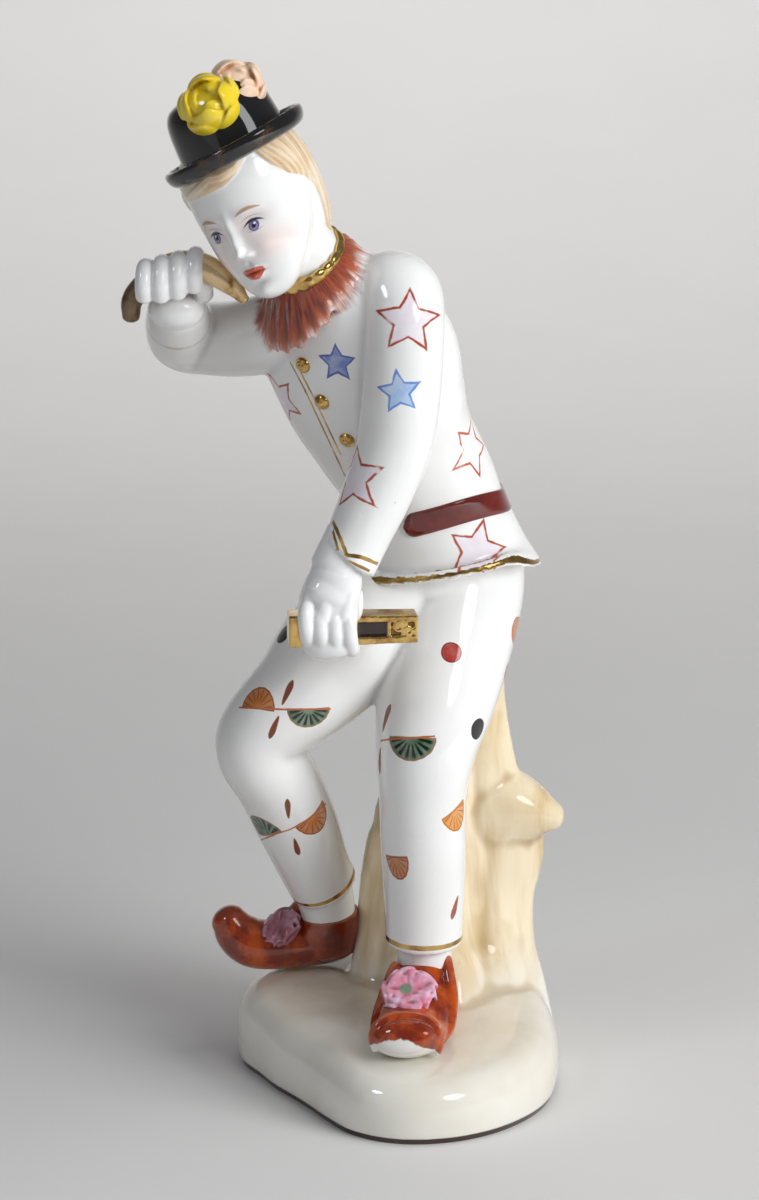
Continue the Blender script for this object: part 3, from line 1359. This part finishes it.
gloveMaterial = glazed("white glove glaze", (0.88, 0.88, 0.88), (0.42, 0.41, 0.45), 0.75, 0.03, 0.2)
raisedForms = [*handForms(hands["raised"]), ball(*hands["heel"])]
addPiece("glove-raised", fused("glove-raised", raisedForms, hands["voxel"], 5), gloveMaterial)
addPiece(
    "glove-lowered",
    fused(
        "glove-lowered",
        handForms(hands["lowered"])
        + [limb(seam, around=28) for seam in hands["seams"]]
        + [limb(hands[part], side=(0.95, -0.1, 0.3)) for part in ("fist", "loweredWrist")],
        hands["voxel"], 8,
    ),
    gloveMaterial,
)

horn = (
    (-59.2, -15.4, 186.4, 2, 2), (-58.8, -16, 190, 2.4, 2.4), (-56, -16.8, 193.6, 2.6, 2.6),
    (-49.4, -18.4, 197.6, 3.4, 3.4), (-42.6, -19.2, 197.6, 3.2, 3.2), (-37, -19.8, 194.2, 2.4, 2.4),
    (-33.8, -20.2, 190.8, 1.15, 1.15),
)


def hornMaterial():
    # Thin bronze lustre, dark brown where it was laid thick and pale straw where it is worn.
    material, tree, shader = newMaterial("worn bronze lustre")
    where = objectPlace(tree)
    slow = noise(tree, where, 120, 3.0, 0.6, warp=0.6)
    tone = blendColor(tree, slow.step(0.25, 0.5), (0.13, 0.055, 0.014), (0.56, 0.3, 0.085))
    tone = blendColor(tree, slow.step(0.38, 0.55), tone, (0.86, 0.64, 0.35))
    tip = split(tree, where)[0].step(-0.053, -0.058)
    color = blendColor(tree, tip * 0.8, tone, (0.05, 0.03, 0.02))
    grain = noise(tree, where, 500, 3.0)
    setSurface(tree, shader, color, 0.6, grain * 0.2 + 0.14, grain, 0.0001, 0.4)
    return material


addPiece("horn", closedMesh("horn", [limb(horn, side=(0, 1, 0), steps=14)]), hornMaterial())

block = {
    "middle": (-10.1, -23.5, 117.3),
    "length": 29,
    "deep": 7,
    "high": 7.3,
    "turn": 6,
    "taper": 0.14,  # how much lower its far end is
    "lip": 0.8,  # width of the raised edges round its front
    "panel": (0.9, 7.6, -1.7, 1.9),  # the dark inset: from and to, along and up
    "curls": (  # along, up, size, start and turns
        (10.2, 0.5, 1.3, 0.4, 1.4), (12.3, -0.5, 1.2, 3.6, -1.3), (11.4, 1.6, 0.8, 2, 1.2),
    ),
    "voxel": 0.2,
}
blockTurn = Matrix.Rotation(math.radians(block["turn"]), 3, "Z")


def boxForm(low, high):
    # A plain box between two corners in the block's own frame.
    corner = np.array([[x, y, z] for x in (0, 1) for y in (0, 1) for z in (0, 1)], float)
    local = np.array(low) + corner * (np.array(high) - low)
    local[:, 2] *= 1 - block["taper"] * (local[:, 0] / block["length"] + 0.5)
    faces = [[0, 1, 3, 2], [4, 6, 7, 5], [0, 4, 5, 1], [2, 3, 7, 6], [0, 2, 6, 4], [1, 5, 7, 3]]
    return placed(local, blockTurn, block["middle"]), faces


def curlForm(x, z, size, start, turns):
    # A small scroll on the front: radius shrinks along a spiral of so many turns.
    t = np.linspace(0, 1, 16)
    angle = start + turns * 2 * math.pi * t
    reach = size * (1 - 0.72 * t)
    front = 0.35 - block["deep"] / 2
    local = np.stack([x + reach * np.cos(angle), front + 0 * t, z + reach * np.sin(angle)], -1)
    path = placed(local, blockTurn, block["middle"]) / mm
    return limb([(*point, 0.44, 0.44) for point in path], side=(0, 1, 0.01), around=14, steps=3)


def blockForms(b):
    # A core, bars round the inset and at the far end standing proud of it, and scrolls between them.
    half, back, top, lip = b["length"] / 2, b["deep"] / 2, b["high"] / 2, b["lip"]
    front = -back + 0.6
    fromX, toX, fromZ, toZ = b["panel"]
    bars = [(-half, fromX, -top, top), (toX, toX + lip, -top, top), (half - lip, half, -top, top)]
    bars += [(-half, half, -top, fromZ), (-half, half, toZ, top)]
    forms = [boxForm((-half, front, -top), (half, back, top))]
    forms += [boxForm((x0, -back, z0), (x1, 0, z1)) for x0, x1, z0, z1 in bars]
    return forms + [curlForm(*curl) for curl in b["curls"]]


def blockMaterial():
    # Bright gold, with the inset left dark brown and brown run into the corners.
    material, tree, shader = newMaterial("gilded block")
    where = objectPlace(tree)
    x, y, z = localPlace(tree, where, block["middle"], blockTurn)
    fromX, toX, fromZ, toZ = block["panel"]
    shake = (noise(tree, where, 700, 2.0) - 0.5) * 0.5
    dark = band(x + shake, fromX, toX, 0.1) * band(z + shake, fromZ, toZ, 0.1) * y.step(-2.2, -2.6)
    thin = noise(tree, where, 300, 4.0, 0.65).step(0.4, 0.68)
    hollow = attributeField(tree, "hollow").step(0.0, 0.12)
    leaf = blendColor(tree, thin * 0.75, (0.83, 0.55, 0.17), (0.36, 0.15, 0.04))
    leaf = blendColor(tree, hollow * 0.85, leaf, (0.1, 0.035, 0.012))
    color = blendColor(tree, dark, leaf, (0.02, 0.008, 0.005))
    rough = noise(tree, where, 600, 3.0) * 0.14 + 0.09
    setSurface(tree, shader, color, dark.flip() * 0.95, rough, noise(tree, where, 800, 3.0), 0.0001)
    return material


blockMesh = fused("block", blockForms(block), block["voxel"], 10)
addPiece("block", blockMesh, blockMaterial())
print("hands made")

# Shoes

shoes = {
    "ownRight": (
        (-11.2, 21.6, 28.3, 3.8, 3.4), (-13, 21.4, 27.9, 5, 4.6), (-16.6, 21, 27.3, 5.9, 5.5),
        (-23.5, 20.3, 26.9, 6.3, 5.9), (-30.8, 20, 26.6, 6.4, 6.1), (-35.4, 19.8, 27.3, 6.3, 6.1),
        (-38.7, 19.6, 29.8, 5.6, 5.6), (-40.9, 19.5, 33, 4.4, 4.4),
    ),
    "voxel": 0.4,
    "ownRightHeel": ((-16.2, 20.4, 27, 7, 7), (-16.4, 20.2, 31, 7.6, 7.5), (-16.8, 19.6, 35.6, 7.5, 7.4)),
    "ownRightTongue": ((-18.4, 19.4, 38, 5, 4.6), (-22, 19.6, 34.2, 4.6, 3.8), (-26, 19.8, 31, 4, 3.4)),
    "ownLeft": (
        (6.8, 3, 23.4, 5.6, 5), (6.4, -2, 24, 7.6, 6.4), (5.2, -10, 23.6, 8.7, 6.4), (3.8, -18, 22, 9, 5.6),
        (2.7, -24.6, 21, 9, 5.2), (2, -29, 21.6, 8.4, 4.9), (1.7, -31.4, 22.6, 7, 4),
    ),
    "ownLeftTongue": ((6.2, -7, 28.4, 5.8, 5.6), (5, -10, 26, 6.4, 5)),
    "ownLeftToeRim": (
        (-5.0, -29.4, 18.8, 1, 1), (-5.6, -29.8, 22, 1.1, 1.1), (-4, -29.2, 24.8, 1.2, 1.2),
        (-0.6, -28, 26.2, 1.2, 1.2), (3.2, -28, 26.2, 1.2, 1.2), (6.8, -28.4, 25.3, 1.2, 1.2),
        (9.2, -29, 22.8, 1.1, 1.1), (9.9, -29.2, 19.8, 1, 1), (9.3, -28.8, 17.6, 0.9, 0.9),
    ),
    "ownLeftOuterEdge": (
        (11.7, -7.4, 32.6, 1.5, 1.5), (12.4, -9.7, 29.4, 1.5, 1.5), (13, -13, 25.8, 1.5, 1.5),
        (12.8, -17, 22.8, 1.5, 1.5), (12, -22, 20.8, 1.4, 1.4), (10.4, -26.6, 20, 1.2, 1.2),
    ),
    "ownLeftInnerEdge": (
        (-0.2, -7.6, 31.2, 1.3, 1.3), (-1.5, -10, 29, 1.3, 1.3), (-3, -13.4, 26, 1.3, 1.3),
        (-4.4, -18, 23.2, 1.3, 1.3), (-5.2, -24, 21.4, 1.2, 1.2), (-5.2, -28, 20.4, 1, 1),
    ),
}


def shoePaint(lowest, arch=0.0, middle=0.0, deep=0.0):
    # Orange-red, thick in the hollows and thin on the ridges; it stops at z = lowest - arch * (x - middle)^2.
    def paint(tree, where, color):
        x, _, z = (part * 1000.0 for part in split(tree, where))
        streak = noise(tree, where, 170, 4.0, 0.65).step(0.35, 0.68)
        hollow = attributeField(tree, "hollow")
        tone = blendColor(tree, streak, (0.2, 0.018, 0.005), (0.5, 0.075, 0.006))
        tone = blendColor(tree, hollow.step(0.0, 0.25) * 0.75, tone, (0.13, 0.012, 0.006))
        if deep:
            tone = blendColor(tree, x.step(-24.0, -12.0) * deep, tone, (0.075, 0.008, 0.006))
        tone = blendColor(tree, hollow.step(-0.12, -0.34) * 0.4, tone, (0.74, 0.3, 0.17))
        off = x - middle
        brush = noise(tree, where, 330, 3.0, 0.7, stretch=(1, 1, 0.25)) * 2.2
        bare = (z + brush - 1.1 + off * off * arch).step(lowest + 0.25, lowest - 0.25)
        return blendColor(tree, bare, tone, color), None

    return paint


shoePieces = (  # name, forms, paint
    (
        "shoe-own-right",
        [
            limb(shoes["ownRight"], side=(0, 1, 0), round=(0.7, 0.8)),
            limb(shoes["ownRightTongue"]),
            limb(shoes["ownRightHeel"], round=(0.6, 0.1)),
        ],
        shoePaint(21.0, deep=0.75),
    ),
    (
        "shoe-own-left",
        [
            limb(shoes["ownLeft"], side=(1, 0.1, 0), round=(0.7, 0.45)),
            limb(shoes["ownLeftTongue"]),
            *(limb(shoes["ownLeft" + edge], around=20) for edge in ("ToeRim", "OuterEdge", "InnerEdge")),
        ],
        shoePaint(22.7, arch=0.06, middle=0.7),
    ),
)
for name, forms, paint in shoePieces:
    shoeGlaze = glazed(name + " glaze", (0.82, 0.8, 0.76), (0.3, 0.05, 0.02), 0.3, 0.0, 0.1, paint)
    addPiece(name, fused(name, forms, shoes["voxel"], 3), shoeGlaze)

rosettes = {  # light, deep and pale are colours; heart is where the photograph shows a green one
    "own-right": {
        "middle": (-27.2, 15.2, 32.2), "radius": 5.0, "up": (-0.5, -0.5, 0.7), "forward": (-1, 0, 0),
        "light": (0.36, 0.12, 0.16), "deep": (0.12, 0.02, 0.03), "pale": (0.5, 0.25, 0.33),
        "heart": None, "voxel": 0.26,
    },
    "own-left": {
        "middle": (3.0, -17, 27.2), "radius": 6.3, "up": (-0.1, -0.6, 0.8), "forward": (0, -1, 0),
        "light": (0.7, 0.25, 0.36), "deep": (0.34, 0.04, 0.05), "pale": (0.78, 0.48, 0.62),
        "heart": (406, 989), "voxel": 0.26,
    },
}
rosetteFrills = (  # share of the radius, lift, waves, height, start
    (1.02, 0.16, 8, 0.24, 0.4),
    (0.84, 0.36, 7, 0.22, 2.6),
    (0.6, 0.56, 5, 0.22, 1.9),
)


def frillForm(middle, turn, radius, lift, waves, height, start, around=180, rows=26):
    # A waving ribbon disc, in radii: z = lift + height * share^1.5 * cos(phase). Its edge waves in and out
    # with the phase too, and its two faces stand 0.15 off that and close towards the edge.
    angle = evenAngles(around)[None, :]
    out = np.linspace(0.06, 1, rows)
    share = np.concatenate([out, out[::-1]])[:, None]
    side = np.concatenate([np.ones(rows), -np.ones(rows)])[:, None]
    phase = waves * angle + 1.6 * np.sin(3 * angle + start) + start
    z = lift + height * share**1.5 * np.cos(phase) + side * 0.15 * np.sqrt(np.clip(1.02 - share**6, 0, 1))
    reach = share * (1 + 0.06 * np.cos(phase + 1.2)) * (1 - 0.04 * np.cos(2 * phase))
    twist = angle + 0.25 * share**2 * np.sin(phase)
    local = radius * spun(reach, z, twist)
    return closedGrid(placed(local, turn, middle))


def rosetteForms(r):
    # Three frills of ribbon on one another and on a flat boss, with a bow loop below.
    turn = facing(r["up"], r["forward"])
    size = r["radius"]
    forms = [ball(r["middle"], (size * 0.9, size * 0.9, size * 0.42), turn)]
    forms += [frillForm(r["middle"], turn, size * share, *frill) for share, *frill in rosetteFrills]
    loop = []
    for t in np.linspace(0, 2 * math.pi, 13)[:-2]:
        local = Vector((0.42 * math.cos(t) + 0.12, -0.62 + 0.2 * math.sin(t), 0.42)) * size
        loop.append((*(Vector(r["middle"]) + turn @ local), size * 0.13, size * 0.16))
    forms.append(limb(loop, side=tuple(turn @ Vector((0, 0, 1))), around=20, steps=6))
    return forms


def rosettePaint(r, mesh):
    # Patchy, deep in the folds, with a green heart where a sight line through its place meets the ribbon.
    def paint(tree, where, color):
        hollow = attributeField(tree, "hollow")
        patch = noise(tree, where, 260, 3.0, 0.6).step(0.4, 0.66)
        tone = blendColor(tree, patch, r["light"], r["pale"])
        tone = blendColor(tree, hollow.step(-0.02, 0.2) * 0.9, tone, r["deep"])
        if r["heart"]:
            middle = surfaceOf(mesh).ray_cast(*sightLine(*r["heart"]))[0]
            gap = vectorMath(tree, "DISTANCE", where, middle)
            near = Field(tree, gap.outputs["Value"]) + noise(tree, where, 600, 1.0) * 0.0005
            tone = blendColor(tree, near.step(0.0021, 0.0014) * 0.85, tone, (0.1, 0.26, 0.14))
        return tone, None

    return paint


for name, rosette in rosettes.items():
    rosetteMesh = fused("rosette-" + name, rosetteForms(rosette), rosette["voxel"], 4)
    rosetteGlaze = enamel("rosette glaze " + name, rosettePaint(rosette, rosetteMesh))
    addPiece("rosette-" + name, rosetteMesh, rosetteGlaze)
print("shoes made")

# Painting on the clothes

brown = (0.3, 0.07, 0.015)
paintKeys = ("fill", "cover", "wash", "edge", "line", "mark", "rib")
paintRows = {  # colour, cover, unevenness, outline's colour and half width in mm, ribs' colour and half width
    "pinkStar": ((0.74, 0.57, 0.76), 0.5, 0.6, (0.4, 0.06, 0.02), 0.27),
    "paleStar": ((0.84, 0.72, 0.8), 0.25, 0.8, (0.5, 0.09, 0.03), 0.28),
    "blueStar": ((0.09, 0.17, 0.52), 0.95, 0.45, (0.07, 0.11, 0.4), 0.24),
    "skyStar": ((0.26, 0.46, 0.8), 0.9, 0.45, (0.14, 0.29, 0.66), 0.24),
    "orangeFan": ((0.52, 0.17, 0.022), 1.0, 0.12, (0.3, 0.06, 0.012), 0.24, brown, 0.15),
    "amberFan": ((0.74, 0.28, 0.01), 1.0, 0.15, (0.5, 0.15, 0.015), 0.26, (0.42, 0.11, 0.01), 0.14),
    "greenFan": ((0.035, 0.11, 0.038), 1.0, 0.25, (0.36, 0.15, 0.03), 0.2, (0.003, 0.012, 0.006), 0.32),
    "petal": ((0.17, 0.035, 0.008), 1.0, 0.0, (0.5, 0.16, 0.04), 0.18),
    "redDrop": ((0.3, 0.04, 0.012), 1.0, 0.1, (0.5, 0.14, 0.06), 0.2),
    "redDot": ((0.4, 0.025, 0.015), 1.0, 0.1, (0.16, 0.012, 0.008), 0.18),
    "blackDot": ((0.004, 0.006, 0.004), 1.0, 0.0, (0.01, 0.01, 0.008), 0.16),
}
paints = {name: dict(zip(paintKeys, row)) for name, row in paintRows.items()}
rust = (0.5, 0.14, 0.05)

coatSurface = surfaceOf(coatMesh)
trouserSurface = surfaceOf(trousersMesh)


# Rows of group, paint, place, radius in mm, turn and shape: in front the place is one in the photograph, and
# round the sides and the back it is an azimuth, a height and a shift.
coatFront = (
    ("star", "pinkStar", (409, 321), 7.0, -4),
    ("star", "pinkStar", (354, 478), 7.2, 12),
    ("star", "pinkStar", (282, 398), 6.4, 20),
    ("star", "paleStar", (472, 448), 7.0, -20),
    ("star", "pinkStar", (477, 551), 7.2, -16),
    ("star", "blueStar", (337, 363), 4.3, 0),
    ("star", "skyStar", (399, 392), 4.7, 8),
)
coatRound = (
    ("star", "pinkStar", (110, 176, 0), 6.4, 10),
    ("star", "pinkStar", (150, 160, 4), 6.6, -8),
    ("star", "skyStar", (185, 180, 7), 4.4, 5),
    ("star", "pinkStar", (200, 152, -2), 6.2, 14),
    ("star", "blueStar", (245, 166, 4), 4.4, -6),
    ("star", "paleStar", (160, 128, 0), 5.4, -6),
)
trouserFront = (
    ("dot", "blackDot", (283.5, 634), 2.4, 0),
    ("dot", "redDot", (451.5, 652.5), 2.4, 0),
    ("dot", "blackDot", (478, 729), 2.5, 0),
    ("dot", "orangeFan", (516, 630), 3.2, 0),
    ("petal", "redDrop", (455, 907.5), 3.05, 164, 0.42),
    ("fan", "orangeFan", (257, 708.5), 4.2, 0, 1.2),
    ("fan", "greenFan", (308.5, 709), 4.9, 180, 0.95),
    ("petal", "petal", (287.5, 692.5), 3.3, -20, 0.33),
    ("petal", "petal", (274, 727.5), 3.1, 158, 0.33),
    ("fan", "greenFan", (410.8, 737.5), 5.6, 183, 0.95),
    ("petal", "petal", (386, 718), 3.5, -6, 0.33),
    ("petal", "petal", (379.6, 761), 3.4, 176, 0.33),
    ("fan", "greenFan", (268.5, 835), 4.2, 22, 1.5),
    ("fan", "orangeFan", (312, 816), 4.5, 220, 1.2),
    ("petal", "petal", (288, 809), 3.0, 7, 0.33),
    ("petal", "petal", (296.5, 847), 3.0, 191, 0.33),
    ("fan", "amberFan", (454.3, 810.2), 3.8, 208, 1.5),
    ("fan", "orangeFan", (394.8, 856.8), 3.5, 189, 1.6),
)
trouserRound = (
    ("dot", "redDot", (80, 100, 6), 2.5, 0),
    ("dot", "blackDot", (150, 96, 14), 2.5, 0),
    ("fan", "amberFan", (180, 100, -12), 4.4, 180, 1.3),
    ("fan", "greenFan", (230, 74, 20), 4.6, 176),
    ("dot", "redDot", (270, 60, -8), 2.3, 0),
    ("fan", "orangeFan", (70, 62, 2), 4.0, 186, 1.4),
    ("fan", "orangeFan", (250, 92, 0), 4.2, 170, 1.3),
)


def decalsOn(surface, front, round):
    decals = []
    for rows, line in ((front, sightLine), (round, sideLine)):
        for kind, paint, spot, radius, turn, *shape in rows:
            spot = decalPlace(surface, line(*spot), turn)
            decals.append((kind, spot, radius, paints[paint], *(shape or (1.0,))))
    return decals


coatDecals = decalsOn(coatSurface, coatFront, coatRound)
trouserDecals = decalsOn(trouserSurface, trouserFront, trouserRound)

coatPlaces = pointsOf(coatMesh)
fromCuff, offSleeve = alongLimb(coatPlaces, coat["rightSleeve"])
ownPlaces = (coatPlaces - neck["middle"]) @ np.array(neckTurn)
ownReach = np.hypot(ownPlaces[:, 0], ownPlaces[:, 1])
ownAngle = np.arctan2(ownPlaces[:, 1], ownPlaces[:, 0])
offRuff = np.abs(ownPlaces[:, 2] + ruff["sink"] + ruffSlope(ownAngle) * (ownReach - ruff["inside"]))
insideRuff = ruffReach(ownAngle, ruff) - ownReach - np.clip(offRuff - 3, 0, 9) * 3
addField(coatMesh, "ruff", np.clip(insideRuff, -9, 9))
farOff = 60  # what a point that isn't on a limb has for its distance from the limb's end
addField(coatMesh, "rightCuff", np.where(offSleeve < 9.5, fromCuff, farOff))


def castPoints(surface, pixels, pace=8):
    # Places and normals where sight lines meet a surface, at an even pace in pixels along a row of pixels.
    hits = []
    for (x0, y0), (x1, y1) in zip(pixels, pixels[1:]):
        count = max(1, round(math.hypot(x1 - x0, y1 - y0) / pace))
        for share in np.arange(count + 1) / count:
            spot, normal, _, _ = surface.ray_cast(*sightLine(x0 + (x1 - x0) * share, y0 + (y1 - y0) * share))
            if spot is not None and (not hits or (spot - hits[-1][0]).length > 0.1 * mm):
                hits.append((spot, normal))
    return np.array([h[0] for h in hits]) / mm, np.array([h[1] for h in hits])


def drawLine(mesh, surface, name, pixels):
    # Attribute across: distance from the line, negative on one side. Attribute along: how far from its ends.
    path, normals = castPoints(surface, pixels)
    piece, along, away, length = nearestOnPath(pointsOf(mesh), path)
    sideways = np.cross(path[1:] - path[:-1], normals[:-1])[piece]
    side = np.where(np.sum(away * sideways, axis=1) < 0, -1, 1)
    addField(mesh, name + "-across", side * np.linalg.norm(away, axis=1))
    addField(mesh, name + "-along", np.minimum(along, length - along))


coatLines = {  # gold lines through places in the photograph, and their half widths
    "cuff-upper": (((333, 521), (340.7, 539), (346.6, 555), (361, 557), (378, 564)), 0.45),
    "cuff-lower": (((332, 528), (338, 549), (342.6, 557.6), (357, 565), (369.6, 571)), 0.34),
    "placket-left": (((290, 362), (304, 388), (320, 422), (334, 452), (345, 476)), 0.26),
    "placket-right": (((300, 371), (314, 398), (330, 432), (341, 455)), 0.26),
}
for name, (pixels, half) in coatLines.items():
    drawLine(coatMesh, coatSurface, name, pixels)


def coatPaint(tree, where, color):
    # Stars and ruff, an ochre wash at the raised cuff, and gold on the hem and along the drawn lines.
    color = ruffPaint(tree, where, paintDecals(tree, where, color, coatDecals))
    hem = attributeField(tree, "fromHem") + (noise(tree, where, 60, 2.0) - 0.5) * 0.9
    thin = split(tree, where)[0].step(0.026, 0.034) * -0.45 + 1.0
    gilt = band(hem, 0.25, (noise(tree, where, 130, 2.0) * 0.9 + 0.75) * thin)
    cuff = band(attributeField(tree, "rightCuff"), 4.4, 5.2)
    ochre = noise(tree, where, 300, 2.0).step(0.3, 0.6) * 0.6 + 0.3
    color = blendColor(tree, cuff * ochre * 0.5, color, (0.5, 0.3, 0.1))
    for name, (_, half) in coatLines.items():
        gilt = gilt.math("MAXIMUM", lineMask(tree, where, name, half))
    return color, gilt


trouserLines = {  # the stems that the fans grow from
    "stem-knee": ((239, 707.5), (285, 709.5), (331, 709)),
    "stem-thigh": ((373, 742.2), (388, 739.5), (435, 736.2)),
    "stem-shin": ((261, 840), (276, 834), (291, 829), (308, 819), (326, 803.5)),
}
for name, pixels in trouserLines.items():
    drawLine(trousersMesh, trouserSurface, name, pixels)


def trouserPaint(tree, where, color):
    # Fans, dots and dabs with their stems, and a gold line at each ankle.
    color = paintDecals(tree, where, color, trouserDecals)
    for name in trouserLines:
        color = blendColor(tree, lineMask(tree, where, name, 0.24), color, rust)
    thick = noise(tree, where, 160, 2.0) * 0.7 + 1.9
    left = band(attributeField(tree, "leftHem"), 1.1, thick)
    right = band(attributeField(tree, "rightHem"), 1.1, thick)
    return color, left.math("MAXIMUM", right)


trouserPlaces = pointsOf(trousersMesh)
leftHem, leftNear = alongLimb(trouserPlaces, trousers["ownLeft"])
rightHem, rightNear = alongLimb(trouserPlaces, trousers["ownRight"])
addField(trousersMesh, "leftHem", np.where(leftNear < rightNear, leftHem, farOff))
addField(trousersMesh, "rightHem", np.where(rightNear <= leftNear, rightHem, farOff))

for name, mesh, paint in (("coat", coatMesh, coatPaint), ("trousers", trousersMesh, trouserPaint)):
    addPiece(name, mesh, glazed("painted " + name, white, whitePool, 0.6, 0.06, 0.4, paint))


def beltPaint(tree, where, color):
    # Streaky maroon, thinner along the edges.
    edge = attributeField(tree, "hollow").step(0.02, -0.1)
    streak = noise(tree, where, 160, 3.0, 0.6).step(0.35, 0.7)
    tone = blendColor(tree, streak, (0.05, 0.005, 0.005), (0.13, 0.013, 0.011))
    return blendColor(tree, edge * 0.3, tone, (0.22, 0.03, 0.02)), None


addPiece("belt", closedMesh("belt", [beltForm(belt)]), enamel("maroon belt glaze", beltPaint))

buttons = {
    "places": ((303, 365), (322, 402), (347, 440)),  # in the photograph
    "disc": (1.9, 1.9, 1.1),
    "boss": (0.9, 0.9, 0.55),
    "bossRise": 0.8,
    "voxel": 0.14,
}
buttonForms = []
for pixel in buttons["places"]:
    spot, normal, _, _ = coatSurface.ray_cast(*sightLine(*pixel))
    tilt = normal.to_track_quat("Z", "Y").to_matrix()
    buttonForms.append(ball(tuple(spot / mm), buttons["disc"], tilt))
    buttonForms.append(ball(tuple(spot / mm + normal * buttons["bossRise"]), buttons["boss"], tilt))
addPiece("buttons", fused("buttons", buttonForms, buttons["voxel"], 1), gold)
print("painting done")

# Floor and light

studio = {
    "floorColor": (0.8, 0.79, 0.78),
    "lights": (  # name, place, looks at, size, watts, colour; metres
        ("key", (0.95, -0.58, 0.44), (0, 0, 0.12), 0.6, 10, (0.97, 0.99, 1.0)),
        ("shine", (0.62, -0.8, 0.7), (0, 0, 0.12), 0.38, 1.7, (0.95, 0.98, 1.0)),
        ("window", (-0.5, -0.4, 0.6), (-0.02, 0, 0.12), 0.15, 0.55, (0.78, 0.86, 1.0)),
        ("fill", (-0.8, -0.9, 0.3), (0, 0, 0.12), 0.9, 0.6, (1.0, 0.95, 0.92)),
        ("top", (0.5, -0.1, 1.0), (0, 0, 0.0), 0.8, 3, (1.0, 1.0, 1.0)),
        ("backdrop", (0, 0.9, 1.3), (0, 2.4, 0.5), 1.4, 12, (1.0, 1.0, 1.0)),
    ),
    "world": (0.9, 0.88, 0.88),
    "mirrored": ("shine", "window", "fill"),  # the others leave no image of themselves in the glaze
    "worldStrength": 0.155,
}


def makeFloor(s):
    # A wide sweep, in metres: flat under the figure, then up as 0.5 * (distance beyond 0.7)^2.
    x, y = np.meshgrid(np.linspace(-3, 3, 61), np.linspace(-2, 3, 101))
    z = 0.5 * np.clip(y - 0.7, 0, 9) ** 2
    points = np.stack([x, y, z], -1).reshape(-1, 3)
    i, j = np.meshgrid(np.arange(100), np.arange(60), indexing="ij")
    a = i * 61 + j
    faces = np.stack([a, a + 1, a + 62, a + 61], -1).reshape(-1, 4)
    mesh = bpy.data.meshes.new("floor")
    mesh.from_pydata(points.tolist(), [], faces.tolist())
    material = bpy.data.materials.new("pale paper")
    material.use_nodes = True
    tree = material.node_tree
    shader = tree.nodes["Principled BSDF"]
    where = objectPlace(tree)
    grain = noise(tree, where, 14, 3.0).step(0.3, 0.7)
    dim = tuple(part * 0.985 for part in s["floorColor"])
    plug(tree, shader.inputs["Base Color"], blendColor(tree, grain, s["floorColor"], dim))
    shader.inputs["Roughness"].default_value = 0.65
    showMesh("floor", mesh, material)


def makeLights(s):
    for name, spot, target, size, watts, color in s["lights"]:
        data = bpy.data.lights.new(name, "AREA")
        data.shape = "DISK"
        data.size = size
        data.energy = watts
        data.color = color
        obj = newObject(name, data)
        obj.visible_glossy = name in s["mirrored"]
        aim(obj, spot, target)
    world = bpy.data.worlds.new("studio")
    bpy.context.scene.world = world
    world.use_nodes = True
    sky = world.node_tree.nodes["Background"]
    sky.inputs[0].default_value = (*s["world"], 1)
    sky.inputs[1].default_value = s["worldStrength"]


makeFloor(studio)
makeLights(studio)

bpy.context.view_layer.update()
